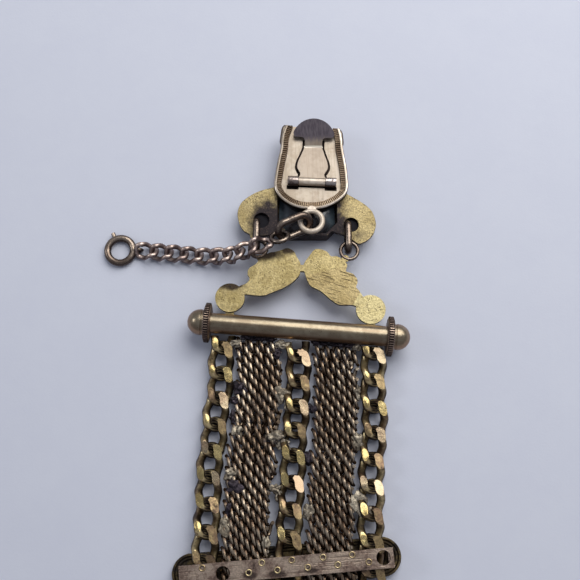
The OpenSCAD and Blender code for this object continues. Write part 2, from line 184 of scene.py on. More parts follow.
def placed_group(tree, group, values):
    """A group placed in a tree, with its own values; gives back its output socket."""
    node = put(tree, "Group", node_tree=bpy.data.node_groups[group])
    for label, value in values.items():
        node.inputs[label].default_value = value
    return node.outputs[0]


def sums(tree, operation, first, second):
    """Two numbers or sockets joined by a Math node."""
    return put(tree, "Math", {0: first, 1: second}, operation=operation).outputs[0]


def ramp(tree, value, low, high, bottom=0.0, top=1.0):
    """A value eased from bottom to top as it goes from low to high."""
    node = put(tree, "MapRange", interpolation_type="SMOOTHSTEP")
    for index, given in enumerate((value, low, high, bottom, top)):
        if isinstance(given, bpy.types.NodeSocket):
            tree.links.new(given, node.inputs[index])
        else:
            node.inputs[index].default_value = given
    return node.outputs[0]


def new_material(name):
    """A material, with its tree and its Principled shader's inputs."""
    material = bpy.data.materials.new(name)
    material.use_nodes = True
    tree = material.node_tree
    return material, tree, tree.nodes["Principled BSDF"].inputs


# The colour sockets of a Mix node
MIX_A, MIX_B, MIX_OUT = 6, 7, 2


def blend(tree, amount, first, second):
    """One colour turned into another by a mask."""
    node = put(tree, "Mix", {0: amount, MIX_A: first, MIX_B: second}, data_type="RGBA")
    return node.outputs[MIX_OUT]


print("helpers ready")

# %% [markdown]
# ## Patina
# Old gold plate doesn't age evenly: it goes brown in clouds a few millimetres wide, and each cloud has
# a ragged edge. Two noises, one broad and one fine, added and then cut between two levels, give such
# clouds. The scale is per metre, because a piece's own coordinates are metres.

# %% Group: patina clouds
FINER = 6.0
BROAD_SHARE = 0.72
tree, given, end = open_group("patina clouds", {"Scale": 300.0, "Low": 0.42, "High": 0.6}, "Mask")
place = put(tree, "TexCoord").outputs["Object"]
broad = put(tree, "TexNoise", {"Vector": place, "Scale": given["Scale"], "Detail": 5.0,
                               "Roughness": 0.6})
finer = sums(tree, "MULTIPLY", given["Scale"], FINER)
fine = put(tree, "TexNoise", {"Vector": place, "Scale": finer, "Detail": 3.0})
both = sums(tree, "ADD", sums(tree, "MULTIPLY", broad.outputs[0], BROAD_SHARE),
            sums(tree, "MULTIPLY", fine.outputs[0], 1 - BROAD_SHARE))
tree.links.new(ramp(tree, both, given["Low"], given["High"]), end)
print(tree.name, len(tree.nodes), "nodes")

# %% [markdown]
# ## Pits
# The plates are speckled where the plating has let go in specks of a tenth of a millimetre. A
# Voronoi texture scatters points, and the nearness of a point makes a round pit. A noise lets only
# some of the points through, so the specks gather in patches.

# %% Group: pits
PATCH_EDGE = 0.12
tree, given, end = open_group("pits", {"Scale": 3000.0, "Size": 0.4, "Spread": 0.5}, "Mask")
place = put(tree, "TexCoord").outputs["Object"]
cells = put(tree, "TexVoronoi", {"Vector": place, "Scale": given["Scale"]})
near = sums(tree, "SUBTRACT", 1.0, ramp(tree, cells.outputs["Distance"], 0.0, given["Size"]))
patches = put(tree, "TexNoise", {"Vector": place, "Scale": 900.0, "Detail": 2.0})
patch_end = sums(tree, "ADD", given["Spread"], PATCH_EDGE)
let_through = ramp(tree, patches.outputs[0], given["Spread"], patch_end)
tree.links.new(sums(tree, "MULTIPLY", near, let_through), end)
print(tree.name, len(tree.nodes), "nodes")

# %% [markdown]
# ## Scratches and brush marks
# A scratch is a noise that changes fast across its line and slowly along it. The coordinates are turned
# by an angle, stretched, and read by a noise, and only its peaks are kept. Wide levels give a brushed
# surface, and narrow ones give single scratches.

# %% Group: scratches
tree, given, end = open_group(
    "scratches", {"Angle": 0.0, "Along": 120.0, "Across": 3500.0, "Low": 0.58, "High": 0.66}, "Mask")
place = put(tree, "TexCoord").outputs["Object"]
turned_place = put(tree, "VectorRotate", {"Vector": place, "Angle": given["Angle"]},
                   rotation_type="Z_AXIS")
parts = put(tree, "SeparateXYZ", {0: turned_place.outputs[0]})
stretched = put(tree, "CombineXYZ", {
    0: sums(tree, "MULTIPLY", parts.outputs[0], given["Along"]),
    1: sums(tree, "MULTIPLY", parts.outputs[1], given["Across"]),
    2: sums(tree, "MULTIPLY", parts.outputs[2], given["Across"]),
})
lines = put(tree, "TexNoise", {"Vector": stretched.outputs[0], "Scale": 1.0, "Detail": 2.0})
tree.links.new(ramp(tree, lines.outputs[0], given["Low"], given["High"]), end)
print(tree.name, len(tree.nodes), "nodes")

# %% [markdown]
# ## Dark patches
# Grime creeps out from the setting and round the holes. On the left plate one patch darkens the disc's
# top, and two more are a painted shadow under the safety chain and the clip's links. A dark patch is an
# ellipse at a place on the fob, with its edge broken up by a noise.

# %% Group: dark patch
RAGGED_EDGE = 1.1
tree, given, end = open_group(
    "dark_patch", {"Middle X": 0.0, "Middle Y": 0.0, "Half width": 0.005, "Half height": 0.005,
              "Inside": 0.6, "Outside": 1.25}, "Mask")
place = put(tree, "TexCoord").outputs["Object"]
parts = put(tree, "SeparateXYZ", {0: place})
squares = []
for axis, (middle, half) in enumerate((("Middle X", "Half width"), ("Middle Y", "Half height"))):
    from_middle = sums(tree, "SUBTRACT", parts.outputs[axis], given[middle])
    share = sums(tree, "DIVIDE", from_middle, given[half])
    squares.append(sums(tree, "MULTIPLY", share, share))
away = sums(tree, "SQRT", sums(tree, "ADD", *squares), 0.0)
rag = put(tree, "TexNoise", {"Vector": place, "Scale": 700.0, "Detail": 4.0, "Roughness": 0.65})
swing = sums(tree, "SUBTRACT", rag.outputs[0], 0.5)
ragged = sums(tree, "ADD", away, sums(tree, "MULTIPLY", swing, RAGGED_EDGE))
tree.links.new(sums(tree, "SUBTRACT", 1.0, ramp(tree, ragged, given["Inside"], given["Outside"])), end)
print(tree.name, len(tree.nodes), "nodes")

# %% [markdown]
# ## Worn and lit tops
# Faces that point up or down get the bright colour and steep flanks a darker one, as the surface's
# normal tells. This is partly wear, where a hand or a pocket rubs, and partly painted light: a painted
# highlight on the tops and painted shade on the flanks.

# %% Group: worn and lit tops
tree, given, end = open_group("worn and lit tops", {"Low": 0.75, "High": 0.97}, "Mask")
facing = put(tree, "SeparateXYZ", {0: put(tree, "NewGeometry").outputs["Normal"]})
level = sums(tree, "ABSOLUTE", facing.outputs[2], 0.0)
tree.links.new(ramp(tree, level, given["Low"], given["High"]), end)
print(tree.name, len(tree.nodes), "nodes")

# %% [markdown]
# ## A metal's finish
# Every metal here is gold plate or brass with the same history: a bright colour, a worn colour
# in clouds, sandy specks, flanks painted darker as shade, and grime in pits and dark patches. One
# function builds that graph, and each finish only states its colours and how strongly each effect shows.
# Dirt is rougher and less metallic than the metal, and all relief goes through one Bump node. A wire with
# drawn grooves carries their depth, and how dark the insides of its bends are, as an attribute of its
# mesh, and the grime colour fills both: grime and painted shade.

# %% The metal finish
CLOUDS = {"Scale": 260.0, "Low": 0.42, "High": 0.6}
LITTLE_DIRT = {"Scale": 420.0, "Low": 0.6, "High": 0.76}
SOME_DIRT = {"Scale": 420.0, "Low": 0.52, "High": 0.68}
MUCH_DIRT = {"Scale": 500.0, "Low": 0.42, "High": 0.6}
GRAIN_DEPTH = 0.5
GRAIN_SHINE = 0.1
SPECK_LEVELS = (0.62, 0.4)
LUMP_LEVELS = (0.5, 0.68)
PIT_GRIME = 0.85
MARK_DEPTH = 0.6
DIRT_MATT = 0.4


def tint(red, green, blue):
    """A colour from 0 to 255, as the eye sees it, as linear light for a shader."""
    linear = []
    for value in (red, green, blue):
        share = value / 255
        linear.append(share / 12.92 if share < 0.04 else ((share + 0.055) / 1.055) ** 2.4)
    return (*linear, 1.0)


def most(tree, masks):
    """The strongest of several masks."""
    strongest = masks[0]
    for mask in masks[1:]:
        strongest = sums(tree, "MAXIMUM", strongest, mask)
    return strongest


def metal(name, bright, worn, grime, flank_shade, dirt=LITTLE_DIRT, clouds=CLOUDS, smooth=0.25, rough=0.5,
          tops=(0.6, 0.92), sand=0.0, pits=None, lines=None, scored=0.35, dark_patches=(), relief=0.02,
          dents=0.0, grooved=False, matt=0.2):
    """A worn metal, its four colours from 0 to 255. flank_shade is that of its steep sides, painted shade,
    and tops the levels of the worn and lit tops, wear and painted highlight. dirt and clouds are values of
    patina clouds, pits of pits, lines of scratches and dark_patches of dark_patch. sand is how much specks
    and scored how much scratches darken it. relief is the bump's depth in mm and dents that of a broad
    unevenness over it. matt is the share of light that the film of wear and grease scatters."""
    bright, worn, grime, flank_shade = [tint(*colour) for colour in (bright, worn, grime, flank_shade)]
    material, tree, shader = new_material(name)
    place = put(tree, "TexCoord").outputs["Object"]

    colour = blend(tree, placed_group(tree, "patina clouds", clouds), bright, worn)
    grains = put(tree, "TexNoise", {"Vector": place, "Scale": 3400.0, "Detail": 3.0,
                                    "Roughness": 0.6}).outputs[0]
    height = sums(tree, "MULTIPLY", grains, GRAIN_DEPTH)
    if dents:
        uneven = put(tree, "TexNoise", {"Vector": place, "Scale": 800.0, "Detail": 1.0}).outputs[0]
        height = sums(tree, "ADD", height, sums(tree, "MULTIPLY", uneven, dents / relief))
    masks = [placed_group(tree, "patina clouds", dirt)]
    masks += [placed_group(tree, "dark_patch", values) for values in dark_patches]
    if sand:
        specks = ramp(tree, grains, *SPECK_LEVELS, 0.0, sand)
        colour = blend(tree, specks, colour, grime)
        height = sums(tree, "SUBTRACT", height, specks)
    if pits:
        holes = placed_group(tree, "pits", pits)
        masks.append(sums(tree, "MULTIPLY", holes, PIT_GRIME))
        height = sums(tree, "SUBTRACT", height, holes)
    if lines:
        marks = placed_group(tree, "scratches", lines)
        height = sums(tree, "SUBTRACT", height, sums(tree, "MULTIPLY", marks, MARK_DEPTH))
        colour = blend(tree, sums(tree, "MULTIPLY", marks, scored), colour, flank_shade)
    # Tops keep the bright colour and steep flanks take the flank colour: wear, painted highlight and
    # painted shade.
    top = placed_group(tree, "worn and lit tops", {"Low": tops[0], "High": tops[1]})
    colour = blend(tree, top, flank_shade, colour)
    # Grooves and the insides of bends take the grime colour: grime and painted shade.
    if grooved:
        masks.append(put(tree, "Attribute", attribute_name="groove").outputs["Fac"])
    soiled = most(tree, masks)
    lumpy_grime = blend(tree, ramp(tree, grains, *LUMP_LEVELS), grime, flank_shade)
    shine = sums(tree, "ADD", smooth, sums(tree, "MULTIPLY", grains, GRAIN_SHINE))
    dull = sums(tree, "MULTIPLY", soiled, rough - smooth)
    scattered = sums(tree, "MULTIPLY", soiled, DIRT_MATT)
    bump = put(tree, "Bump", {"Strength": 1.0, "Distance": relief * MM, "Height": height})

    tree.links.new(blend(tree, soiled, colour, lumpy_grime), shader["Base Color"])
    tree.links.new(sums(tree, "ADD", shine, dull), shader["Roughness"])
    tree.links.new(sums(tree, "SUBTRACT", 1.0 - matt, scattered), shader["Metallic"])
    tree.links.new(bump.outputs["Normal"], shader["Normal"])
    return material


def dark_patch(x, y, half_width, half_height, inside=0.6, outside=1.25):
    """A dark patch's values, its place in drawing mm."""
    middle = TO_FRAME @ Vector((x, y, 0.0))
    return {"Middle X": middle.x, "Middle Y": middle.y, "Half width": half_width * MM,
            "Half height": half_height * MM, "Inside": inside, "Outside": outside}


print("finish ready")

# %% [markdown]
# ## The finishes
# The clip is the brightest, a pinkish gold. The plates are a dull olive brass, sandy and specked with
# brown, the bar and its knobs are worn satin, and the rings and the safety chain have gone brown. The
# links' planed faces are still bright, while their flanks are painted darker as shade.

# %% Mix the metals
ALONG_CLIP = {"Angle": math.radians(87.5), "Low": 0.48, "High": 0.62}
BAR_ANGLE = math.radians(-4.43)
PLATE_PITS = {"Scale": 2600.0, "Size": 0.45, "Spread": 0.46}
FACET_PITS = {"Scale": 3200.0, "Size": 0.4, "Spread": 0.52}

clip_gold = metal(
    "clip_gold", (180, 168, 152), (162, 148, 130), (88, 74, 58), (78, 64, 54), smooth=0.32, rough=0.55,
    lines=ALONG_CLIP, scored=0.16, relief=0.004, tops=(0.75, 0.99), matt=0.4)
# A paler, more diffuse gold for the lever's rolled end and the clip's ring: painted light on their shaded
# undersides.
barrel_lit_gold = metal(
    "barrel_lit_gold", (238, 224, 206), (206, 190, 170), (120, 106, 90), (190, 170, 148), smooth=0.26,
    tops=(0.3, 0.9), relief=0.006, matt=0.75)
ear_grey = metal(
    "ear_grey", (214, 204, 198), (164, 150, 142), (70, 58, 54), (90, 76, 70), dirt=SOME_DIRT,
    smooth=0.16, tops=(0.35, 0.95), relief=0.01, dents=0.03)
# A paler gold for the rounding of the clip's rim: a painted highlight.
rim_highlight_gold = metal(
    "rim_highlight_gold", (236, 224, 210), (206, 190, 170), (96, 80, 66), (84, 68, 56), smooth=0.2,
    tops=(0.35, 0.85), relief=0.004, matt=0.3)
# Dark finishes for the clip's groove and windows and for the floor of the milled border: grime and painted
# shade.
clip_hollow_shade = metal(
    "clip_hollow_shade", (56, 44, 38), (40, 32, 30), (22, 18, 18), (26, 20, 20), dirt=SOME_DIRT, smooth=0.5,
    rough=0.7)
border_shade_brown = metal(
    "border_shade_brown", (80, 62, 50), (62, 48, 40), (36, 28, 22), (50, 38, 28), dirt=SOME_DIRT, smooth=0.4,
    rough=0.65)
milled_gold = metal(
    "milled_gold", (182, 160, 132), (146, 122, 96), (66, 52, 36), (84, 66, 44), dirt=SOME_DIRT,
    smooth=0.3, rough=0.6, relief=0.004)
# The plate's patches: one on the left disc's top, and a painted shadow under the safety chain and the
# clip's links.
plate_brass = metal(
    "plate_brass", (202, 184, 132), (178, 160, 108), (72, 58, 38), (46, 36, 28), smooth=0.42,
    rough=0.62, sand=0.34, pits=PLATE_PITS, relief=0.03,
    dark_patches=[dark_patch(-9.9, 0.1, 2.4, 1.0), dark_patch(-4.4, 5.5, 3.0, 1.2), dark_patch(0.2, 6.4, 1.9, 1.1)])
wing_scored = metal(
    "wing_scored", (200, 180, 130), (176, 156, 108), (72, 58, 38), (46, 36, 28), smooth=0.42,
    rough=0.62, sand=0.3, relief=0.04, scored=0.6,
    lines={"Angle": math.radians(16), "Along": 300.0, "Across": 3800.0, "Low": 0.59, "High": 0.64})
disc_bright = metal(
    "disc_bright", (218, 204, 152), (200, 184, 130), (84, 68, 46), (46, 36, 28), smooth=0.42,
    rough=0.62, sand=0.3, pits=PLATE_PITS, relief=0.03)
plaque_brass = metal(
    "plaque_brass", (192, 174, 126), (168, 150, 104), (46, 38, 40), (80, 66, 62), smooth=0.42,
    rough=0.62, sand=0.34, pits=PLATE_PITS, relief=0.04,
    dark_patches=[dark_patch(2.95, 12.2, 7.4, 6.4, 0.6, 1.1), dark_patch(-3.4, 11.2, 3.9, 4.6, 0.55, 1.15),
            dark_patch(7.4, 10.6, 3.2, 3.2, 0.5, 1.15), dark_patch(11.6, 8.9, 2.6, 1.3, -1.0, 1.0)])
# Near-black for the plugs low in the plaque's holes: painted shade.
hole_shade_black = metal(
    "hole_shade_black", (28, 27, 32), (22, 21, 26), (12, 12, 14), (16, 15, 18), dirt=SOME_DIRT, smooth=0.5,
    rough=0.7)
bar_satin = metal(
    "bar_satin", (166, 154, 130), (144, 130, 108), (88, 66, 56), (142, 114, 92), smooth=0.24,
    rough=0.42, tops=(0.4, 0.98), scored=0.4, relief=0.004, matt=0.12,
    lines={"Angle": -BAR_ANGLE, "Along": 60.0, "Low": 0.5, "High": 0.66})
collar_brown = metal(
    "collar_brown", (206, 182, 162), (160, 134, 118), (60, 46, 44), (120, 98, 88), dirt=SOME_DIRT,
    smooth=0.32, rough=0.6, tops=(0.2, 0.8), relief=0.01)
# The dark finish in the gaps between the collar's teeth: painted shade.
collar_gap_shade = metal(
    "collar_gap_shade", (64, 48, 44), (48, 36, 36), (26, 20, 22), (38, 30, 30), dirt=SOME_DIRT, smooth=0.5,
    rough=0.7)
ring_brown = metal(
    "ring_brown", (166, 150, 134), (122, 106, 94), (60, 50, 48), (80, 68, 64), dirt=SOME_DIRT,
    smooth=0.22, rough=0.45, tops=(0.6, 0.99), relief=0.008, matt=0.15)
link_flank = metal(
    "link_flank", (255, 230, 172), (160, 132, 100), (24, 18, 20), (54, 42, 38), dirt=SOME_DIRT,
    smooth=0.24, tops=(0.45, 0.93), relief=0.01, grooved=True, matt=0.12)
facet_gold = metal(
    "facet_gold", (216, 196, 138), (194, 170, 114), (104, 82, 50), (140, 116, 78), smooth=0.2,
    sand=0.2, pits=FACET_PITS, relief=0.012, dents=0.05, matt=0.1)
facet_rose = metal(
    "facet_rose", (192, 174, 142), (162, 140, 114), (104, 80, 70), (132, 106, 92), smooth=0.22,
    sand=0.15, relief=0.012, dents=0.05, matt=0.1)
facet_dull = metal(
    "facet_dull", (188, 164, 120), (140, 116, 92), (70, 54, 44), (100, 80, 64), dirt=SOME_DIRT,
    smooth=0.24, rough=0.55, sand=0.3, pits=FACET_PITS, relief=0.012, dents=0.05, matt=0.1)
mesh_brown = metal(
    "mesh_brown", (236, 218, 190), (164, 142, 116), (70, 58, 52), (84, 66, 52), dirt=SOME_DIRT,
    smooth=0.15, rough=0.45, tops=(0.88, 1.0), relief=0.004, matt=0.1)
chain_copper = metal(
    "chain_copper", (228, 206, 192), (166, 144, 134), (58, 48, 50), (110, 92, 90), dirt=SOME_DIRT,
    smooth=0.26, tops=(0.5, 0.97), relief=0.008, matt=0.3)
strip_worn = metal(
    "strip_worn", (216, 194, 172), (168, 144, 128), (62, 48, 42), (90, 72, 62), dirt=SOME_DIRT,
    clouds={"Scale": 420.0, "Low": 0.42, "High": 0.58}, smooth=0.28, sand=0.25, scored=0.5,
    lines={"Angle": math.radians(-4.8), "Low": 0.54, "High": 0.66},
    dark_patches=[dark_patch(-6.1, -45.9, 1.3, 0.6), dark_patch(-2.0, -45.7, 1.5, 0.6), dark_patch(3.3, -45.2, 1.2, 0.5)])
rim_bright = metal(
    "rim_bright", (232, 210, 160), (196, 172, 130), (80, 62, 50), (120, 98, 76), smooth=0.24,
    relief=0.006)
front_olive = metal(
    "front_olive", (126, 110, 76), (92, 78, 54), (40, 34, 28), (64, 52, 38), dirt=MUCH_DIRT,
    smooth=0.34, rough=0.62)
solder_grey = metal(
    "solder_grey", (212, 200, 176), (150, 138, 118), (54, 46, 42), (82, 72, 66), dirt=SOME_DIRT,
    smooth=0.36, rough=0.6, tops=(0.35, 0.92), sand=0.4, matt=0.4,
    pits={"Scale": 3600.0, "Size": 0.5, "Spread": 0.4}, relief=0.04)
solder_black = metal(
    "solder_black", (84, 76, 82), (60, 54, 62), (36, 32, 38), (48, 42, 48), dirt=SOME_DIRT, smooth=0.4,
    rough=0.7, sand=0.5, relief=0.06)
print(len(bpy.data.materials), "materials")

# %% [markdown]
# ## The lever's metal
# The lever is the clip's pale gold with its thumb tab coloured dark grey, and the dark fades at the
# neck in brush strokes. A ramp along the lever's length, broken up by a scratch mask, mixes the two, and
# two more ramps paint a thin bright line along the lever's crease: a painted highlight.

# %% Darken the thumb tab
NECK_Y = 24.8
FADE_START = 0.5
FADE_LENGTH = 2.0
STROKE_LENGTH = 0.5
CREASE_WIDTH = 0.3
CREASE_DROP = 0.14


def darkened_tab():
    """The clip's gold with a second, dark colour past the lever's neck, and a painted highlight along its
    crease.
    """
    material = metal(
        "lever_gold", (170, 156, 140), (156, 142, 126), (88, 72, 58), (126, 106, 84), smooth=0.3,
        tops=(0.2, 0.75), lines=ALONG_CLIP, scored=0.2, relief=0.004, matt=0.5)
    tree = material.node_tree
    shader = tree.nodes["Principled BSDF"].inputs
    neck = (TO_FRAME @ Vector((0.0, NECK_Y, 0.0))).y
    place = put(tree, "SeparateXYZ", {0: put(tree, "TexCoord").outputs["Object"]}).outputs[1]
    strokes = placed_group(tree, "scratches", {
        "Angle": math.radians(87.5), "Along": 200.0, "Across": 3400.0, "Low": 0.3, "High": 0.7})
    shifted = sums(tree, "ADD", place, sums(tree, "MULTIPLY", strokes, STROKE_LENGTH * MM))
    dark = ramp(tree, shifted, neck + FADE_START * MM, neck + FADE_LENGTH * MM)
    # The thin bright line along the crease is a painted highlight.
    crease = neck - CREASE_DROP * MM
    before = ramp(tree, place, crease - CREASE_WIDTH * MM, crease)
    after = ramp(tree, place, crease + CREASE_WIDTH * MM, crease)
    gold = blend(tree, sums(tree, "MULTIPLY", before, after),
                 shader["Base Color"].links[0].from_socket, tint(255, 246, 226))
    streaked = blend(tree, strokes, tint(88, 80, 88), tint(108, 100, 106))
    tree.links.new(blend(tree, dark, gold, streaked), shader["Base Color"])
    return material


lever_gold = darkened_tab()
print(lever_gold.name)

# %% [markdown]
# ## Glass and floor
# The stone is dark glass, nearly black in its depth and blue grey where a side facet catches the light.
# The floor is matt and pale, with a trace of mottling so that it doesn't look drawn.

# %% Glass and floor materials
SIDEWAYS = (0.2, 0.5)
CLEAN_TO_DUSTY = (0.14, 0.4)
COAT = 0.5
MOTTLING = 0.5
PAPER_ROUGHNESS = 0.85


def stone_glass():
    """Dark polished glass under a clear coat, its left and right facets painted paler, a painted highlight.
    """
    material, tree, shader = new_material("stone_glass")
    depth = placed_group(tree, "patina clouds", {"Scale": 180.0, "Low": 0.4, "High": 0.62})
    dust = placed_group(tree, "patina clouds", {"Scale": 900.0, "Low": 0.45, "High": 0.7})
    facing = put(tree, "SeparateXYZ", {0: put(tree, "NewGeometry").outputs["Normal"]})
    # Side facets are painted pale blue grey: a painted highlight.
    sideways = ramp(tree, sums(tree, "ABSOLUTE", facing.outputs[0], 0.0), *SIDEWAYS)
    body = blend(tree, depth, tint(26, 26, 30), tint(44, 40, 42))
    pale = blend(tree, depth, tint(112, 130, 140), tint(76, 90, 100))
    tree.links.new(blend(tree, sideways, body, pale), shader["Base Color"])
    tree.links.new(ramp(tree, dust, 0.0, 1.0, *CLEAN_TO_DUSTY), shader["Roughness"])
    shader["Coat Weight"].default_value = COAT
    return material


def floor_paper():
    """Pale matt board."""
    material, tree, shader = new_material("floor_paper")
    mottle = placed_group(tree, "patina clouds", {"Scale": 90.0, "Low": 0.3, "High": 0.7})
    fleck = put(tree, "TexNoise", {"Vector": put(tree, "TexCoord").outputs["Object"], "Scale": 2500.0})
    colour = blend(tree, sums(tree, "MULTIPLY", mottle, MOTTLING), tint(216, 220, 232),
                   tint(210, 214, 228))
    tree.links.new(colour, shader["Base Color"])
    shader["Roughness"].default_value = PAPER_ROUGHNESS
    bump = put(tree, "Bump", {"Strength": 0.3, "Distance": 0.05 * MM, "Height": fleck.outputs[0]})
    tree.links.new(bump.outputs["Normal"], shader["Normal"])
    return material


glass = stone_glass()
paper = floor_paper()
print(glass.name, paper.name)

# %% [markdown]
# ## Making a piece
# A bmesh in drawing millimetres becomes an object in the frame in one place: doubles are merged, the
# normals turned outwards, sharp edges marked, and the mesh moved and scaled. Then the piece is hung on
# the body it rides on, and the imported pieces it stands for are hidden. A Bevel modifier can round its
# sharp edges as wear does, which leaves its flat faces flat. Parts that are made one by one, such as
# small links, are joined first.

# %% Helpers for pieces
WELD = 0.002
SHARP = math.radians(35)
NEARLY_FLAT = math.radians(0.5)


def new_piece(name, bm, materials, body="fob", replaces=(), sharp=SHARP, worn=0.0, segments=2):
    """An object from a bmesh in drawing mm. Its edges above the angle sharp stay sharp, or are rounded
    by worn, in mm."""
    bmesh.ops.remove_doubles(bm, verts=bm.verts, dist=WELD)
    bmesh.ops.recalc_face_normals(bm, faces=bm.faces)
    for edge in bm.edges:
        edge.smooth = not (edge.is_manifold and edge.calc_face_angle() > sharp)
    for face in bm.faces:
        face.smooth = True
    bm.transform(TO_FRAME)
    mesh = bpy.data.meshes.new(name)
    bm.to_mesh(mesh)
    bm.free()
    for material in materials:
        mesh.materials.append(material)
    piece = placed(name, mesh)
    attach(piece, body)
    if replaces:
        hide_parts(*replaces)
    mesh.calc_loop_triangles()
    size = [round(side / MM, 2) for side in piece.dimensions]
    print(name, size, "mm,", len(mesh.loop_triangles), "triangles")
    if worn:
        rounding = piece.modifiers.new("worn edges", "BEVEL")
        rounding.width = worn * MM
        rounding.segments = segments
        rounding.limit_method = "ANGLE"
        rounding.angle_limit = sharp
        rounding.harden_normals = True


def packed_copy(node):
    """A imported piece's mesh in drawing mm, merged, with its flat faces whole."""
    bm = bmesh.new()
    bm.from_mesh(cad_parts[node].data)
    bm.transform(TO_DRAWING)
    bmesh.ops.remove_doubles(bm, verts=bm.verts, dist=WELD)
    bmesh.ops.dissolve_limit(bm, angle_limit=NEARLY_FLAT, verts=bm.verts, edges=bm.edges)
    for face in bm.faces:
        face.material_index = 0
    return bm


def worn_copy(node, material, width):
    """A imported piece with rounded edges, in its place."""
    new_piece("shown_" + node, packed_copy(node), [material], replaces=[node], worn=width)


def joined(parts):
    """One bmesh of several, which are freed."""
    whole = bmesh.new()
    mesh = bpy.data.meshes.new("one part")
    for part in parts:
        part.to_mesh(mesh)
        whole.from_mesh(mesh)
        part.free()
    bpy.data.meshes.remove(mesh)
    return whole


def placement(at, turn=(0, 0, 0)):
    """A place in drawing mm and a turn in degrees about X, then Y, then Z."""
    angles = [math.radians(angle) for angle in turn]
    return Matrix.Translation(Vector(at)) @ Euler(angles).to_matrix().to_4x4()


print("piece helpers ready")

# %% [markdown]
# ## Floor
# One large grid just under the fob, marked as stage, so that it isn't counted as part of the object.

# %% Lay the floor
FLOOR_DROP = 0.02
FLOOR_HALF = 2500

floor_bm = bmesh.new()
bmesh.ops.create_grid(floor_bm, x_segments=4, y_segments=4, size=FLOOR_HALF)
bmesh.ops.translate(floor_bm, verts=floor_bm.verts, vec=(0, 0, -FLOOR_DROP))
floor_bm.transform(TO_FRAME)
floor_mesh = bpy.data.meshes.new("floor")
floor_bm.to_mesh(floor_mesh)
floor_bm.free()
floor_mesh.materials.append(paper)
floor = placed("floor", floor_mesh)
floor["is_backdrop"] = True
print("floor", FLOOR_HALF * 2, "mm wide")

# %% [markdown]
# ## Plaque and stone
# The plaque is a sheet cut to two lobes, with an open-backed setting soldered on. Its shape is the
# packed one. What the eye misses there is the roundness of old edges, and wear on a merged copy gives
# that. The stone's facets get the same, but much finer. Both holes are black inside, so a dark plug,
# painted shade, sits in the lower end of each.

# %% Dress the plaque and the stone
PLAQUE_BOTTOM = 2.1
PLUG_THICK = 0.08
# Each hole: x, y and radius
HOLES = [(-4.9, 11.55, 1.35), (10.45, 10.75, 1.25)]

worn_copy("plaque", plaque_brass, 0.1)
# A dark plug low in each hole: painted shade.
plug_bm = bmesh.new()
for x, y, radius in HOLES:
    bmesh.ops.create_cone(plug_bm, cap_ends=True, segments=40, radius1=radius, radius2=radius,
                          depth=PLUG_THICK, matrix=placement((x, y, PLAQUE_BOTTOM + PLUG_THICK)))
new_piece("hole_shade_plug", plug_bm, [hole_shade_black])
worn_copy("stone", glass, 0.05)

# %% [markdown]
# ## Bar and plates
# The scalloped plates, their discs and the bar are soldered into one piece, but the bar is a polished
# tube and the plates are flat sheet. The copy stays one mesh, and its faces near the bar's axis get
# the tube's finish. Two planes cut the sheet at both ends of the right wing's scratched lower half, so
# that this half and the brighter disc beyond it can have finishes of their own.

# %% Dress the bar and its plates
BAR_MIDDLE = Vector((1.4, -7.55, 3.3))
BAR_SLOPE = math.tan(BAR_ANGLE)
BAR_RADIUS = 1.69
BAR_MARGIN = 0.03
RIGHT_WING_FROM = 2.0
on_bar = placement(BAR_MIDDLE, (0, 0, math.degrees(BAR_ANGLE)))
to_bar = on_bar.inverted()

# The scratched half lies beyond the first plane and not beyond the second: a point and a normal each
SCORED_PLANES = [(Vector((4.0, 2.0, 0.0)), Vector((0.25, -1.0, 0.0))),
                 (Vector((10.9, -2.6, 0.0)), Vector((0.85, -0.5, 0.0)))]


def on_tube(middle):
    """Whether a face with this middle belongs to the bar."""
    return (to_bar @ middle).yz.length < BAR_RADIUS + BAR_MARGIN


bracket_bm = packed_copy("bar_bracket")
for point, normal in SCORED_PLANES:
    middles = {face: face.calc_center_median() for face in bracket_bm.faces}
    sheet = [face for face, middle in middles.items() if middle.x > 0 and not on_tube(middle)]
    geometry = sheet + list({edge for face in sheet for edge in face.edges})
    bmesh.ops.bisect_plane(bracket_bm, geom=geometry, plane_co=point, plane_no=normal)
for face in bracket_bm.faces:
    middle = face.calc_center_median()
    beyond = [(middle - point).dot(normal) > 0 for point, normal in SCORED_PLANES]
    if on_tube(middle):
        face.material_index = 1
    elif middle.x > RIGHT_WING_FROM and beyond[0]:
        face.material_index = 3 if beyond[1] else 2
new_piece("shown_bar_bracket", bracket_bm, [plate_brass, bar_satin, wing_scored, disc_bright],
          replaces=["bar_bracket"], worn=0.1)

# %% [markdown]
# ## Collars and knobs
# These are lathe work, so they are spun from a profile: rows of distance along the bar and radius. The
# collar's rim is milled like a coin's. It is spun in four times as many steps as it has teeth, and every
# other pair of rows is pushed in a little, which leaves square-cut teeth. The gaps between them are
# painted dark, painted shade. The knob is a dome behind a fine turned groove.

# %% Turn the collars and knobs
TUBE_HALF = 14.5
COLLAR_RADIUS = 3.3
COLLAR_WIDTH = 1.15
# Each row: the distance from either face of the collar, and the radius
COLLAR_EDGE = [(0.0, 0.0), (0.0, 2.5), (0.06, 2.85), (0.16, 3.1), (0.24, COLLAR_RADIUS)]
COLLAR_TEETH = 50
TEETH_FROM = 3.0
TEETH_HALF_WIDTH = 0.4
TOOTH_DEPTH = 0.2
KNOB_RADIUS = 2.15
KNOB_LENGTH = 2.75
# Each row: the distance from the collar, and the radius
KNOB_FOOT = [(0.0, 0.0), (0.0, 1.95), (0.06, KNOB_RADIUS), (0.2, KNOB_RADIUS), (0.27, 2.05),
             (0.36, 2.05), (0.43, KNOB_RADIUS)]
KNOB_STEPS = 72
DOME_STEPS = 10


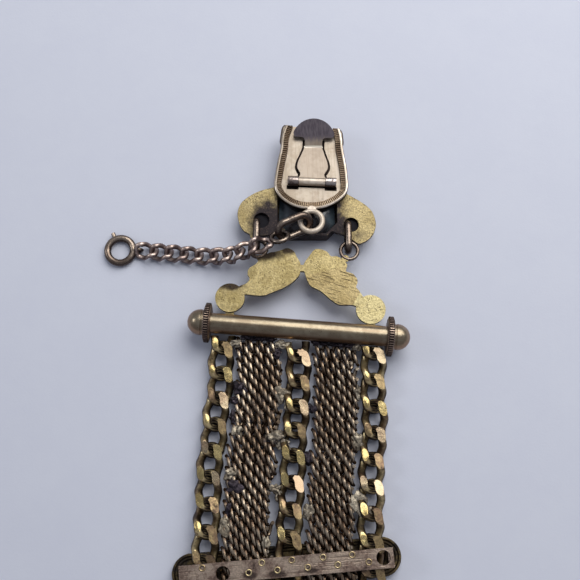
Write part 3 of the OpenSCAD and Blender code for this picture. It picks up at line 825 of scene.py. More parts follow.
def lathe(profile, steps):
    """A solid turned about X from rows of distance along and radius."""
    bm = bmesh.new()
    verts = [bm.verts.new((along, 0.0, radius)) for along, radius in profile]
    edges = [bm.edges.new(pair) for pair in zip(verts, verts[1:])]
    bmesh.ops.spin(bm, geom=verts + edges, cent=(0, 0, 0), axis=(1, 0, 0), angle=2 * math.pi,
                   steps=steps, use_merge=True)
    bmesh.ops.remove_doubles(bm, verts=bm.verts, dist=WELD)
    return bm


def collar():
    """A milled collar from x = 0."""
    profile = COLLAR_EDGE + [(COLLAR_WIDTH - along, radius) for along, radius in reversed(COLLAR_EDGE)]
    steps = 4 * COLLAR_TEETH
    bm = lathe(profile, steps)
    for vert in bm.verts:
        radius = math.hypot(vert.co.y, vert.co.z)
        row = round(math.atan2(vert.co.z, vert.co.y) / (2 * math.pi) * steps) % steps
        if radius > TEETH_FROM and row % 4 < 2:
            vert.co.yz = vert.co.yz * (radius - TOOTH_DEPTH) / radius
    # Faces deep in the gaps between teeth take the dark finish: painted shade.
    for face in bm.faces:
        middle = face.calc_center_median()
        in_gap = middle.yz.length < COLLAR_RADIUS - TOOTH_DEPTH / 3
        if in_gap and abs(middle.x - COLLAR_WIDTH / 2) < TEETH_HALF_WIDTH:
            face.material_index = 1
    return bm


def knob():
    """A domed knob from x = 0, with a groove at its foot."""
    profile = list(KNOB_FOOT)
    for step in range(DOME_STEPS + 1):
        angle = math.pi / 2 * step / DOME_STEPS
        profile.append((KNOB_LENGTH - KNOB_RADIUS + KNOB_RADIUS * math.sin(angle),
                        KNOB_RADIUS * math.cos(angle)))
    return lathe(profile, KNOB_STEPS)


for side, turn in (("left", 180), ("right", 0)):
    outwards = on_bar @ placement((0, 0, 0), (0, 0, turn))
    collar_bm = collar()
    collar_bm.transform(outwards @ Matrix.Translation((TUBE_HALF, 0, 0)))
    new_piece("milled_collar_" + side, collar_bm, [collar_brown, collar_gap_shade],
              replaces=["collar_" + side])
    knob_bm = knob()
    knob_bm.transform(outwards @ Matrix.Translation((TUBE_HALF + COLLAR_WIDTH, 0, 0)))
    new_piece("domed_knob_" + side, knob_bm, [bar_satin], replaces=["knob_" + side])

# %% [markdown]
# ## Wire rings and links
# A ring is a circle of wire spun round. An oval link is the same ring with its two halves moved apart.
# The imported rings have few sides, so each is made again, smoother, at its own place and turn.

# %% Bend the rings
def wire_ring(radius, wire, steps=64, sides=20):
    """A ring of round wire about Z."""
    bm = bmesh.new()
    section = bmesh.ops.create_circle(bm, segments=sides, radius=wire)["verts"]
    bmesh.ops.rotate(bm, verts=section, cent=(0, 0, 0), matrix=Matrix.Rotation(math.pi / 2, 3, "X"))
    bmesh.ops.translate(bm, verts=section, vec=(radius, 0, 0))
    bmesh.ops.spin(bm, geom=bm.verts[:] + bm.edges[:], cent=(0, 0, 0), axis=(0, 0, 1),
                   angle=2 * math.pi, steps=steps, use_merge=True)
    return bm


def wire_oval(length, width, wire):
    """A long link in the XY plane, its length along X."""
    bm = wire_ring(width / 2 - wire, wire)
    for vert in bm.verts:
        if abs(vert.co.x) > WELD:
            vert.co.x += math.copysign((length - width) / 2, vert.co.x)
    return bm


def ring_piece(node, bm, place):
    """A ring or link that stands for a packed one."""
    bm.transform(place)
    new_piece("bent_" + node, bm, [ring_brown], replaces=[node])


STANDING = placement((0, 0, 0), (0, -90, 90)) @ placement((0, 0, 0), (0, 0, 90))
for node, at in (("plaque_link_left", (-5.68, 9.05, 2.5)), ("plaque_link_right", (9.88, 8.6, 2.5))):
    ring_piece(node, wire_oval(6.0, 3.24, 0.6), placement(at, (0, 0, 90)) @ STANDING)
ring_piece("clip_link", wire_oval(7.0, 4.3, 0.6), placement((0.7, 9.75, 4.9), (50, 4, 24.5)))
ring_piece("chain_link", wire_ring(1.45, 0.4), placement((-1.72, 7.95, 4.9), (-41, 0, 16)))
for side, at in (("left", (-5.4, 6.5, 2.75)), ("right", (10.03, 6.13, 2.75))):
    small_ring = wire_ring(1.46, 0.31)
    small_ring.transform(placement(at))
    new_piece("small_ring_" + side, small_ring, [ring_brown])
worn_copy("chain_clasp", ring_brown, 0.06)

# %% [markdown]
# ## A curb link
# A curb link is an oval of round wire whose two ends are twisted out of flat, so that a chain of them
# lies down, and whose faces are then planed to bright facets. It starts as a spun ring. Each point's
# two angles, round the link and round the wire, say where it goes on the twisted oval. The end bends
# carry fine grooves along the wire, which run out before the planed faces. Each point keeps its
# groove's depth for the finish, and inside a bend how dark it is painted there, grime and painted
# shade. Two cuts with bisect_plane then plane the link.

# %% The link's shape
PLANED_TOP = 1.27
PLANED_HALF = 1.14
TWIST_HASTE = 1.7
SIDE_FLATNESS = 0.12
END_FLATNESS = 0.06
# Where grooves and the grime and painted shade fade in, as shares of the bend, of the planed height
# and of the wire's inside
GROOVED_BEND = (0.6, 0.85)
GROOVED_HEIGHT = (0.75, 0.97)
GRIME_AND_SHADE_BEND = (0.45, 0.8)
GRIME_AND_SHADE_INSIDE = (0.2, 0.9)


def eased(low, high, value):
    """0 below low, 1 above high, and smooth between."""
    share = min(1.0, max(0.0, (value - low) / (high - low)))
    return share * share * (3 - 2 * share)


def curb_link(length, width, wire, leg, twist, height, steps, sides, ridges=0, ridge_depth=0.0):
    """A twisted oval link in the XY plane, its length along Y. wire is its thickness at the end
    bends, leg at its sides and height half its thickness upwards."""
    ring_radius, ring_wire = 2.0, 0.5
    bm = wire_ring(ring_radius, ring_wire, steps, sides)
    depths = bm.verts.layers.float.new("groove")
    half_length = (length - wire) / 2
    reach_x = (width - leg) / 2 / (1 - SIDE_FLATNESS)
    reach_y = half_length / (1 - END_FLATNESS)
    for vert in bm.verts:
        around = math.atan2(vert.co.y, vert.co.x)
        section = math.atan2(vert.co.z, math.hypot(vert.co.x, vert.co.y) - ring_radius)
        side, bend = math.cos(around), math.sin(around)
        middle = Vector((reach_x * (side - SIDE_FLATNESS * math.cos(3 * around)),
                         reach_y * (bend + END_FLATNESS * math.sin(3 * around))))
        ahead = Vector((reach_x * (-bend + 3 * SIDE_FLATNESS * math.sin(3 * around)),
                        reach_y * (side + 3 * END_FLATNESS * math.cos(3 * around))))
        outwards = Vector((ahead.y, -ahead.x)).normalized()
        across = (wire + (leg - wire) * side ** 2) / 2
        lean = twist * math.sin(math.pi / 2 * min(1, max(-1, middle.y / half_length * TWIST_HASTE)))
        full = middle + across * math.cos(section) * outwards
        level = abs(full.x * math.sin(lean) + height * math.sin(section) * math.cos(lean))
        depth = (eased(*GROOVED_BEND, abs(bend)) * (1 - eased(*GROOVED_HEIGHT, level / PLANED_HALF))
                 * (0.5 - 0.5 * math.cos(ridges * section)))
        # The inside of each end bend is darkened: grime and painted shade.
        crevice_grime_and_shade = eased(*GRIME_AND_SHADE_INSIDE, -math.cos(section)) * eased(*GRIME_AND_SHADE_BEND, abs(bend))
        vert[depths] = max(depth, crevice_grime_and_shade if ridges else 0.0)
        groove = ridge_depth * depth
        flat = middle + (across - groove) * math.cos(section) * outwards
        rise = (height - groove) * math.sin(section)
        vert.co = Vector((flat.x * math.cos(lean) - rise * math.sin(lean), flat.y,
                          flat.x * math.sin(lean) + rise * math.cos(lean)))
    return bm


def cut_flat(bm, point, normal):
    """Cuts off what is beyond a plane, closes the cut, and gives back the faces that close it."""
    geometry = bm.verts[:] + bm.edges[:] + bm.faces[:]
    bmesh.ops.bisect_plane(bm, geom=geometry, plane_co=point, plane_no=normal, clear_outer=True)
    rims = [edge for edge in bm.edges if edge.is_boundary]
    closing = bmesh.ops.holes_fill(bm, edges=rims, sides=0)["faces"]
    for face in closing:
        face.material_index = 0
    return closing


print("link helper ready")

# %% [markdown]
# ## The strap's course
# The strap is soldered to the bar, sags to the table and rises again into the slide. Its middle
# height is a sum of two eased steps.

# %% The strap's height
STRAP_LOW = 1.2
STRAP_AT_BAR = 2.1
STRAP_IN_SLIDE = 2.4
BAR_EASE = 9.0
SLIDE_EASE = 8.0
SLIDE_FLAT = 5.0
SLIDE_MIDDLE = Vector((-0.5, -44.65, 0.0))
SLIDE_ANGLE = math.radians(4.8)


def bar_line(x):
    """The y of the bar's middle line at x."""
    return BAR_MIDDLE.y + BAR_SLOPE * (x - BAR_MIDDLE.x)


def strap_height(x, y):
    """The height of the strap's middle plane."""
    from_bar = (bar_line(x) - y - BAR_RADIUS) / BAR_EASE
    slide_y = SLIDE_MIDDLE.y + math.tan(SLIDE_ANGLE) * (x - SLIDE_MIDDLE.x)
    from_slide = (abs(y - slide_y) - SLIDE_FLAT) / SLIDE_EASE
    return (STRAP_LOW + (STRAP_AT_BAR - STRAP_LOW) * (1 - eased(0, 1, from_bar))
            + (STRAP_IN_SLIDE - STRAP_LOW) * (1 - eased(0, 1, from_slide)))


print("height at the bar", strap_height(0, -9.2), "and halfway", strap_height(0, -25))

# %% [markdown]
# ## Curb chains
# The links are placed by the imported links' boxes, and each one turns along the line through its
# neighbours. They were planed by hand, so each link's upper plane leans a few degrees its own way, and
# some facets flash while others stay dark. Near the bar the planes follow the chain's rise. The links
# under the slide's strip are planed lower, and their facets get the dull finish as painted shade.

# %% Make and hang the curb chains
LINK_LENGTH = 6.25
LINK_WIDTH = 4.5
HALF_LINK_WIDTH = 4.3
LINK_WIRE = 1.3
LINK_LEG = 1.36
LINK_TWIST = math.radians(39)
LINK_HALF_HEIGHT = 0.68
LINK_GROWTH = 1.08
GAP = 0.08
LINKS = 10


def link_middle(node):
    """The middle of a packed link in drawing mm, or of a whole one for the half link at the bar."""
    low, high = [TO_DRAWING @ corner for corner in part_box(node)]
    middle = (low + high) / 2
    if node.endswith("_0"):
        middle.y = low.y + LINK_LENGTH / 2
    return middle


def planed_link(width, finishes, tilt, top):
    """A curb link with grooved ends and planed faces. finishes are those of its left and its right
    leg's facets, tilt is how far the upper ones lean in X and Y, and top is their height."""
    bm = curb_link(LINK_LENGTH * LINK_GROWTH, width, LINK_WIRE, LINK_LEG, LINK_TWIST, LINK_HALF_HEIGHT,
                   steps=60, sides=48, ridges=8, ridge_depth=0.15)
    for height, normal in ((top, (tilt[0], tilt[1], 1.0)), (-PLANED_HALF, (0.0, 0.0, -1.0))):
        for face in cut_flat(bm, (0, 0, height), Vector(normal).normalized()):
            face.material_index = finishes[face.calc_center_median().x > 0]
    return bm


# Each facet has aged in its own way: 1 gold, 2 rose, 3 dull
LEFT_FACETS = [1, 1, 3, 1, 2, 1, 1]
RIGHT_FACETS = [2, 3, 1, 2, 3, 1, 2, 3]
# The links from this one on pass under the slide's strip
FIRST_HELD = 8
# Links under the strip take the dull finish on all facets: painted shade.
HELD_FACETS = [3, 3]
MEAN_TILT = (0.02, 0.06)
MOST_TILT = 0.06
chance = random.Random(4)

for column, side in enumerate(("left", "middle", "right")):
    middles = [link_middle(f"curb_{side}_{index}") for index in range(LINKS)]
    for index, middle in enumerate(middles):
        above = middles[max(0, index - 1)]
        below = middles[min(LINKS - 1, index + 1)]
        turn = math.atan2(above.x - below.x, above.y - below.y)
        top = strap_height(middle.x, middle.y + LINK_LENGTH / 2)
        bottom = strap_height(middle.x, middle.y - LINK_LENGTH / 2)
        rise = math.atan2(top - bottom, LINK_LENGTH)
        finishes = [LEFT_FACETS[(3 * column + index) % len(LEFT_FACETS)],
                    RIGHT_FACETS[(5 * column + index) % len(RIGHT_FACETS)]]
        tilt = [mean + chance.uniform(-MOST_TILT, MOST_TILT) for mean in MEAN_TILT]
        planed_at = PLANED_TOP
        if index >= FIRST_HELD:
            finishes, planed_at = HELD_FACETS, PLANED_HALF
        elif rise > 0:
            tilt[1] += rise
        link = planed_link(LINK_WIDTH if index else HALF_LINK_WIDTH, finishes, tilt, planed_at)
        link.transform(placement((middle.x, middle.y, (top + bottom) / 2),
                                 (math.degrees(rise), 0, -math.degrees(turn))))
        if index == 0:
            under_bar = bar_line(middle.x) - BAR_RADIUS - 2 * GAP
            cut_flat(link, (middle.x, under_bar, 0), (0, 1, 0))
        new_piece(f"planed_{side}_{index}", link, [link_flank, facet_gold, facet_rose, facet_dull],
                  replaces=[f"curb_{side}_{index}"])

# %% [markdown]
# ## Woven bands
# The bands are woven of flattened wire coils, like a screen: each coil runs across the band, and the
# next one is wound through it half a turn on. A coil is a circle of wire spun with a step along
# its axis, then flattened. Its front strokes slope steeply from upper left to lower right and leave no
# gaps. A noise shifts each row's ends and makes the rows sway a little, and its seed makes every run
# the same. Eight sides to the wire are enough for a coil that repeats fifty times.

# %% Weave the mesh bands
MESH_TOP = BAR_MIDDLE.y - BAR_RADIUS - GAP
MESH_BOTTOM = -49.6
MESH_WIRE = 0.31
WIRE_FLATNESS = 0.8
COIL_HALF_HEIGHT = 1.05
COIL_HALF_DEPTH = 0.37
COIL_PITCH = 1.75
COIL_STEPS = 16
ROW_PITCH = 0.88
RAGGEDNESS = 0.5
RAG_STEP = 0.83
FIRST_ROW = 1.2
SWAY = 0.12
SWAY_PITCH = 0.35
SWAY_SEED = 4
# Each row: y along the strap, left edge, right edge
BAND_LEFT = [
    (-8, -8.9, -1.9), (-15.7, -8.9, -1.5), (-22.2, -9.5, -1.6), (-28.5, -10.35, -2.2),
    (-34.8, -10.7, -2.8), (-42.3, -10.85, -3.1), (-52, -11.0, -3.1)]
BAND_RIGHT = [
    (-8, 3.7, 11.1), (-19, 3.65, 11.0), (-27, 3.1, 10.75), (-34.8, 2.6, 10.3),
    (-42.3, 2.2, 10.2), (-52, 2.1, 10.25)]


def band_edges(rows, y):
    """The band's left and right edge at y, between the rows of its table."""
    for upper, lower in zip(rows, rows[1:]):
        if y >= lower[0]:
            share = (upper[0] - y) / (upper[0] - lower[0])
            return [upper[side] + (lower[side] - upper[side]) * share for side in (1, 2)]
    return rows[-1][1:]


def flat_coil(turns):
    """A coil about X from x = 0, flattened, with closed ends."""
    bm = bmesh.new()
    section = bmesh.ops.create_circle(bm, segments=8, radius=MESH_WIRE)["verts"]
    bmesh.ops.translate(bm, verts=section, vec=(0, COIL_HALF_HEIGHT, 0))
    steps = round(turns * COIL_STEPS)
    bmesh.ops.spin(bm, geom=bm.verts[:] + bm.edges[:], cent=(0, 0, 0), axis=(1, 0, 0),
                   dvec=(COIL_PITCH / COIL_STEPS, 0, 0), angle=2 * math.pi * turns, steps=steps)
    for vert in bm.verts:
        away = math.hypot(vert.co.y, vert.co.z) - COIL_HALF_HEIGHT
        angle = math.atan2(vert.co.z, vert.co.y)
        across = Vector((math.cos(angle) / COIL_HALF_HEIGHT, math.sin(angle) / COIL_HALF_DEPTH))
        across.normalize()
        vert.co.y = COIL_HALF_HEIGHT * math.cos(angle) + away * across.x
        vert.co.z = COIL_HALF_DEPTH * math.sin(angle) + away * across.y * WIRE_FLATNESS
    bmesh.ops.holes_fill(bm, edges=[edge for edge in bm.edges if edge.is_boundary], sides=0)
    return bm


def woven_rows(rows):
    """A band's coils, laid along the strap's course one after another."""
    for index in range(int((MESH_TOP - MESH_BOTTOM) / ROW_PITCH)):
        y = MESH_TOP - FIRST_ROW - index * ROW_PITCH
        ragged = [RAGGEDNESS * noise.noise(Vector((index * RAG_STEP, edge, 0.0)))
                  for edge in rows[0][1:]]
        left, right = [edge + shift for edge, shift in zip(band_edges(rows, y), ragged)]
        offset = COIL_PITCH / 2 * (index % 2)
        turns = (right - left - 2 * MESH_WIRE - offset) / COIL_PITCH
        bm = flat_coil(round(turns * 2) / 2)
        for vert in bm.verts:
            x = left + MESH_WIRE + offset + vert.co.x
            level = y + BAR_SLOPE * (x - BAR_MIDDLE.x)
            sway = noise.noise_vector(Vector((x * SWAY_PITCH, level * SWAY_PITCH, 0.0))) * SWAY
            vert.co = Vector((x + sway.x, level + vert.co.y + sway.y,
                              strap_height(x, level) + vert.co.z))
        yield bm


noise.seed_set(SWAY_SEED)
for side, rows in (("left", BAND_LEFT), ("right", BAND_RIGHT)):
    new_piece("woven_" + side, joined(woven_rows(rows)), [mesh_brown],
              replaces=["mesh_" + side])

# %% [markdown]
# ## Solder
# The bands are tacked to the chains with lumps of grey solder, rough and pitted, and some have gone
# black. Each is an icosphere flattened and pushed about by a noise, at the places that the photograph
# shows. A low value of the noise makes the lump's outline straggle. A row of black ones joins each
# band to the bar, solder that also fills the strip under the bar with painted shade.

# %% Tack the bands with solder
# Each row: x, y, half width, half length, and 1 for black
LUMPS = [
    (-8.8, -9.8, 1.1, 0.6, 0), (-8.3, -16.9, 1.1, 1.4, 1), (-9.1, -18.9, 0.8, 0.7, 1),
    (-8.5, -23.9, 1.0, 1.0, 0), (-9.4, -21.6, 0.6, 0.9, 1), (-9.6, -30.8, 1.0, 0.9, 0),
    (-9.0, -32.6, 1.3, 1.2, 1), (-10.2, -38.7, 0.9, 1.4, 0), (-9.7, -36.4, 0.6, 1.1, 1),
    (-3.7, -41.2, 0.6, 1.0, 0), (-1.2, -9.9, 1.1, 0.7, 0), (-1.5, -18.0, 1.2, 1.2, 0),
    (-0.3, -19.6, 0.7, 1.0, 0), (-2.2, -24.9, 1.5, 0.9, 0), (-0.9, -26.2, 1.1, 0.9, 0),
    (-2.4, -33.0, 0.9, 0.8, 0), (-1.6, -34.3, 0.7, 1.0, 0), (-2.2, -11.4, 0.7, 0.8, 1),
    (2.9, -28.3, 1.0, 1.1, 1), (2.7, -36.6, 0.9, 1.1, 0), (3.5, -20.4, 0.7, 0.9, 1),
    (10.9, -25.6, 1.0, 1.3, 0), (10.7, -35.0, 1.4, 1.4, 0), (11.8, -36.5, 1.0, 1.0, 0),
    (11.1, -17.5, 0.7, 1.0, 0), (11.1, -10.2, 0.8, 0.7, 0),
]
# Each lump of the seam, solder and painted shade under the bar: x and half width
SEAM = [(-7.4, 0.9), (-6.0, 1.0), (-4.6, 0.8), (-3.2, 1.0), (4.3, 0.8), (5.7, 1.0), (7.2, 0.9),
        (8.6, 1.0), (10.0, 0.8)]
SEAM_DROP = 0.15
SEAM_HALF_LENGTH = 0.45
LUMPS += [(x, bar_line(x) - BAR_RADIUS - SEAM_DROP, half_width, SEAM_HALF_LENGTH, 1)
          for x, half_width in SEAM]
LUMP_HEIGHT = 0.58
LUMP_RISE = 0.35
LUMP_SIZE = 0.9
SEED_STEP = 7.3
STRAGGLE, STRAGGLE_PITCH = 0.8, 1.3
CRUMPLE, CRUMPLE_PITCH = 0.13, 4.0


def solder_lump(x, y, half_width, half_length, black, seed):
    """A rough flattened lump on the strap's upper side."""
    bm = bmesh.new()
    bmesh.ops.create_icosphere(bm, subdivisions=4, radius=1.0)
    for vert in bm.verts:
        rough = noise.noise(vert.co * STRAGGLE_PITCH + Vector((seed, 0, 0))) * STRAGGLE
        rough += noise.noise(vert.co * CRUMPLE_PITCH + Vector((0, seed, 0))) * CRUMPLE
        vert.co *= LUMP_SIZE + rough
        vert.co = Vector((x + vert.co.x * half_width, y + vert.co.y * half_length,
                          strap_height(x, y) + LUMP_RISE + vert.co.z * LUMP_HEIGHT))
    for face in bm.faces:
        face.material_index = black
    return bm


solder_bm = joined(solder_lump(*lump, SEED_STEP * number) for number, lump in enumerate(LUMPS))
new_piece("solder_lumps", solder_bm, [solder_grey, solder_black])

# %% [markdown]
# ## Slide
# The slide's front is stamped sheet with a turned-up rim, and a worn strip across the back holds the
# strap in. The front starts as a capped circle with its halves moved apart, extruded, and its back is
# inset in four steps to leave the rim and a ridge. The strip is a worn copy, and what stands above its
# top, the rivets' rims, is bright.

# %% Build the slide
FRONT_LENGTH = 36.0
FRONT_WIDTH = 6.0
FRONT_THICK = 1.2
# Each inset: its width and depth
RIM_STEPS = [(0.35, 0.0), (0.18, -0.3), (0.3, 0.0), (0.15, -0.25)]
LARGE_FACE = 5.0
RIVET_MARGIN = 0.01
on_slide = placement(SLIDE_MIDDLE, (0, 0, math.degrees(SLIDE_ANGLE)))

front_bm = bmesh.new()
bmesh.ops.create_circle(front_bm, cap_ends=True, segments=64, radius=FRONT_WIDTH / 2)
for vert in front_bm.verts:
    if abs(vert.co.x) > WELD:
        vert.co.x += math.copysign((FRONT_LENGTH - FRONT_WIDTH) / 2, vert.co.x)
raised = bmesh.ops.extrude_face_region(front_bm, geom=front_bm.faces[:], use_keep_orig=True)["geom"]
top_verts = [item for item in raised if isinstance(item, bmesh.types.BMVert)]
bmesh.ops.translate(front_bm, verts=top_verts, vec=(0, 0, FRONT_THICK))
bmesh.ops.recalc_face_normals(front_bm, faces=front_bm.faces)
back_face = max(front_bm.faces, key=lambda face: face.calc_center_median().z)
for thickness, depth in RIM_STEPS:
    bmesh.ops.inset_region(front_bm, faces=[back_face], thickness=thickness, depth=depth,
                           use_even_offset=True)
front_bm.transform(on_slide)
new_piece("stamped_front", front_bm, [front_olive], replaces=["slide_front"], worn=0.08)

strip_bm = packed_copy("slide_back")
strip_top = max(face.calc_center_median().z for face in strip_bm.faces if face.calc_area() > LARGE_FACE)
for face in strip_bm.faces:
    if face.calc_center_median().z > strip_top + RIVET_MARGIN:
        face.material_index = 1
new_piece("shown_slide_back", strip_bm, [strip_worn, rim_bright],
          replaces=["slide_back"], worn=0.14, segments=4)
worn_copy("end_bar", bar_satin, 0.3)

# %% [markdown]
# ## The clip's milled border
# The clip's plate has a bright rim, a milled border and a flat field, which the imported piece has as
# steps. The milling is some hundred little half-round teeth laid across the border, along the plate's
# outline, which is a smooth curve through a few points.

# %% Mill the clip's border
CLIP_HINGE = Vector((3.77, 18.15, 0.0))
CLIP_TURN = -2.5
RIM_WIDTH = 0.45
BORDER_WIDTH = 0.85
RIM_HEIGHT = 4.1
BORDER_HEIGHT = 3.85
FIELD_HEIGHT = 3.4
GROOVE_HEIGHT = 3.05
TOOTH_PITCH = 0.36
TOOTH_LENGTH = 0.8
TOOTH_RADIUS = 0.13
CLIP_OUTLINE = [
    (4.5, 10.15), (4.95, 8.4), (5.2, 6.3), (5.8, 3.4), (6.15, 0.9), (6.25, -0.6), (5.9, -2.0),
    (4.6, -3.4), (2.4, -4.6), (0, -5.0), (-2.5, -4.75), (-4.65, -3.7), (-6.0, -2.3), (-6.5, -0.8),
    (-6.4, 0.8), (-6.1, 3.4), (-5.7, 6.1), (-5.6, 8.3), (-5.0, 10.4)]
on_clip = placement(CLIP_HINGE, (0, 0, CLIP_TURN))
to_clip = on_clip.inverted()


PATH_STEPS = 12


def smooth_path(points, steps=PATH_STEPS):
    """A smooth curve through points, as a list of vectors."""
    path = []
    points = [Vector(point) for point in points]
    for index in range(len(points) - 1):
        a, b, c, d = [points[min(max(index + shift, 0), len(points) - 1)] for shift in (-1, 0, 1, 2)]
        for step in range(steps):
            t = step / steps
            path.append(0.5 * (2 * b + (c - a) * t + (2 * a - 5 * b + 4 * c - d) * t ** 2
                               + (3 * b - a - 3 * c + d) * t ** 3))
    return path + [points[-1]]


def spaced(path, pitch):
    """Places along a path at even distances: each a point and a direction."""
    places = []
    travelled = 0.0
    due = pitch / 2
    for start, stop in zip(path, path[1:]):
        length = (stop - start).length
        while due <= travelled + length:
            places.append((start.lerp(stop, (due - travelled) / length), (stop - start).normalized()))
            due += pitch
        travelled += length
    return places


teeth_bm = bmesh.new()
for point, ahead in spaced(smooth_path(CLIP_OUTLINE), TOOTH_PITCH):
    inwards = Vector((ahead.y, -ahead.x))
    middle = point + (RIM_WIDTH + BORDER_WIDTH / 2) * inwards
    across = placement((middle.x, middle.y, BORDER_HEIGHT)) @ Vector(
        (inwards.x, inwards.y, 0)).to_track_quat("Z", "Y").to_matrix().to_4x4()
    bmesh.ops.create_cone(teeth_bm, cap_ends=True, segments=8, radius1=TOOTH_RADIUS,
                          radius2=TOOTH_RADIUS, depth=TOOTH_LENGTH, matrix=across)
teeth_bm.transform(on_clip)
new_piece("milled_teeth", teeth_bm, [milled_gold])

# %% [markdown]
# ## The clip's plate
# A bevel rounds the rim's outer edge, and the rounding gets a paler gold, a painted highlight. The
# border between its teeth, the groove round the lever and the windows beside the hinge are painted dark,
# grime and painted shade. The hinge ears keep a finish of their own, and the ring gets the barrel's
# paler gold, painted light.

# %% Dress the clip's plate
# Heights less than LEVEL apart count as one, and MARGIN keeps clear of the edges between steps
LEVEL = 0.02
MARGIN = 0.05
# The rise of a normal: below STEEP on walls, above FLAT on level faces, between on rounded ones
STEEP = 0.5
FLAT = 0.9
ROUNDED = (0.2, 0.99)
RIM_ROUNDING = 0.26
EAR_END = 4.3
EAR_DEPTH = 1.2
RING_TOP = -4.5
# Each step painted dark, grime and painted shade: its floor's height, and the heights that its walls'
# middles lie between
DARK_STEPS = [(BORDER_HEIGHT, FIELD_HEIGHT, BORDER_HEIGHT - 2 * MARGIN),
              (GROOVE_HEIGHT, GROOVE_HEIGHT, FIELD_HEIGHT - MARGIN)]

clip_bm = packed_copy("clip_plate")
for face in clip_bm.faces:
    height = face.calc_center_median().z
    for index, (floor_height, low, high) in enumerate(DARK_STEPS, start=1):
        on_floor = face.normal.z > STEEP and abs(height - floor_height) < LEVEL
        on_wall = abs(face.normal.z) < STEEP and low < height < high
        if on_floor or on_wall:
            face.material_index = index
rim_edges = []
for edge in clip_bm.edges:
    if len(edge.link_faces) == 2:
        top, wall = sorted(edge.link_faces, key=lambda face: -face.normal.z)
        at_rim = abs(top.calc_center_median().z - RIM_HEIGHT) < LEVEL and top.normal.z > FLAT
        outer = abs(wall.normal.z) < STEEP and wall.calc_center_median().z < BORDER_HEIGHT - MARGIN
        if at_rim and outer:
            rim_edges.append(edge)
bmesh.ops.bevel(clip_bm, geom=rim_edges, offset=RIM_ROUNDING, affect="EDGES", segments=4, profile=0.5,
                material=-1)
# The ears get their own grey, the ring the paler barrel gold as painted light, and the rim's rounding the
# highlight gold as a painted highlight.
for face in clip_bm.faces:
    middle = to_clip @ face.calc_center_median()
    corners = [to_clip @ vert.co for vert in face.verts]
    in_ears = all(abs(corner.x) < EAR_END and abs(corner.y) < EAR_DEPTH for corner in corners)
    if in_ears and middle.z > FIELD_HEIGHT + MARGIN:
        face.material_index = 3
    elif middle.y < RING_TOP and middle.z > RIM_HEIGHT + LEVEL:
        face.material_index = 5
    elif BORDER_HEIGHT < middle.z < RIM_HEIGHT + LEVEL and ROUNDED[0] < face.normal.z < ROUNDED[1]:
        face.material_index = 4
new_piece("shown_clip_plate", clip_bm,
          [clip_gold, border_shade_brown, clip_hollow_shade, ear_grey, rim_highlight_gold, barrel_lit_gold],
          replaces=["clip_plate"], worn=0.1)

# %% [markdown]
# ## The clip's shoulders
# At the plate's upper corners the edge of the front sheet is rolled out into two shoulders. Each is
# turned like the collars, with rounded ends.

# %% Roll the clip's shoulders
# Each shoulder: its radius, lower end and upper end, from the hinge
SHOULDERS = {"left": (0.5, (-5.5, 6.6, 3.5), (-5.15, 10.6, 3.5)),
             "right": (0.45, (4.95, 6.8, 3.55), (4.5, 10.1, 3.55))}
# Each row: the distance from an end and the radius, both as shares of the shoulder's radius
SHOULDER_END = [(0.0, 0.0), (0.2, 0.3), (0.7, 0.65), (1.4, 0.9), (2.1, 1.0)]
SHOULDER_STEPS = 24

for side, (radius, low_end, high_end) in SHOULDERS.items():
    course = Vector(high_end) - Vector(low_end)
    far = course.length / radius
    profile = SHOULDER_END + [(far - along, wide) for along, wide in reversed(SHOULDER_END)]
    shoulder_bm = lathe([(along * radius, wide * radius) for along, wide in profile], SHOULDER_STEPS)
    shoulder_bm.transform(on_clip @ Matrix.Translation(Vector(low_end))
                          @ course.to_track_quat("X", "Z").to_matrix().to_4x4())
    new_piece("rolled_shoulder_" + side, shoulder_bm, [clip_gold])

# %% [markdown]
# ## Lever and pin
# The lever's shank is narrowed a little to show the dark groove round it, and its rolled end gets the
# paler barrel gold, painted light. The crease of its thumb tab bends by less than the usual limit of a
# sharp edge, so this piece has a finer limit.

# %% Dress the lever and its pin
SHANK_SPAN = (0.9, 6.4)
SHANK_NARROWED = 0.1
BARREL_EDGE = 0.35
TAB_BEND = math.radians(13)

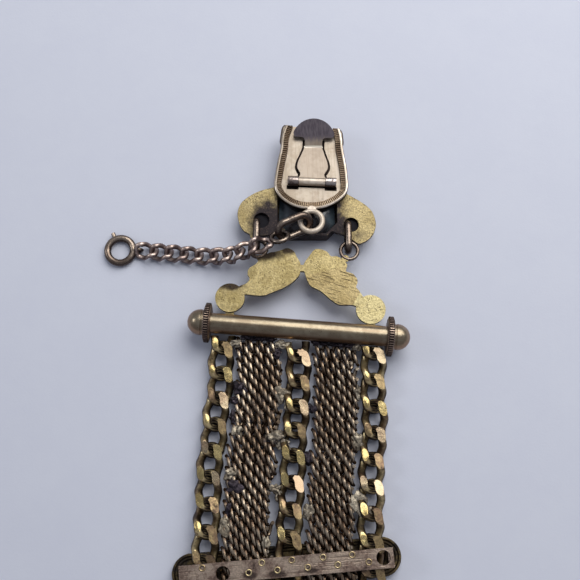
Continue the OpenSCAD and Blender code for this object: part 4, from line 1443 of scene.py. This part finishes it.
lever_bm = packed_copy("clip_lever")
for vert in lever_bm.verts:
    from_hinge = to_clip @ vert.co
    if SHANK_SPAN[0] < from_hinge.y < SHANK_SPAN[1]:
        from_hinge.x -= math.copysign(SHANK_NARROWED, from_hinge.x)
        vert.co = on_clip @ from_hinge
# The rolled end takes the paler barrel gold: painted light.
for face in lever_bm.faces:
    if (to_clip @ face.calc_center_median()).y < BARREL_EDGE:
        face.material_index = 1
new_piece("shown_clip_lever", lever_bm, [lever_gold, barrel_lit_gold], "lever",
          ["clip_lever"], sharp=TAB_BEND, worn=0.09)
worn_copy("clip_pin", ring_brown, 0.05)

# %% [markdown]
# ## Safety chain
# A fine curb chain of round wire runs from the clip's rings to its clasp. The links are the same twisted
# oval, smaller and unplaned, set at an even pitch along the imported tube's route. Each link turns to
# follow the route, so the chain really interlocks.

# %% Link the safety chain
CHAIN_ROUTE = [
    (-3.7, 6.95, 4.6), (-5.5, 6.4, 5.0), (-7.5, 5.75, 4.3), (-9.6, 5.35, 3.0), (-11.6, 5.45, 1.95),
    (-14.2, 5.55, 1.3), (-16.8, 5.8, 1.15), (-19.5, 6.1, 1.15), (-22.3, 6.35, 1.15), (-25.0, 6.6, 1.15)]
SMALL_PITCH = 2.6
SMALL_LENGTH = 4.25
SMALL_WIDTH = 3.2
SMALL_WIRE = 0.84
SMALL_TWIST = math.radians(41)


def small_link(point, ahead):
    """A link of the safety chain at a point of its route, turned along it."""
    link = curb_link(SMALL_LENGTH, SMALL_WIDTH, SMALL_WIRE, SMALL_WIRE, SMALL_TWIST,
                     SMALL_WIRE / 2, steps=48, sides=14)
    sideways = Vector((ahead.y, -ahead.x, 0)).normalized()
    turn = Matrix((sideways, ahead, sideways.cross(ahead))).transposed().to_4x4()
    link.transform(Matrix.Translation(point) @ turn)
    return link


small_bm = joined(small_link(*place) for place in spaced(smooth_path(CHAIN_ROUTE), SMALL_PITCH))
new_piece("small_links", small_bm, [chain_copper], replaces=["safety_chain"])

# %% [markdown]
# ## Measure and finish
# The imported model's box and the visual model's box are both printed. The visual model has to stay
# inside the imported one's box.

# %% Write the sizes and finish
visual_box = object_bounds()
sizes = {name: [list(corner) for corner in box] for name, box in (("cad", cad_box), ("visual", visual_box))}
print(sizes)
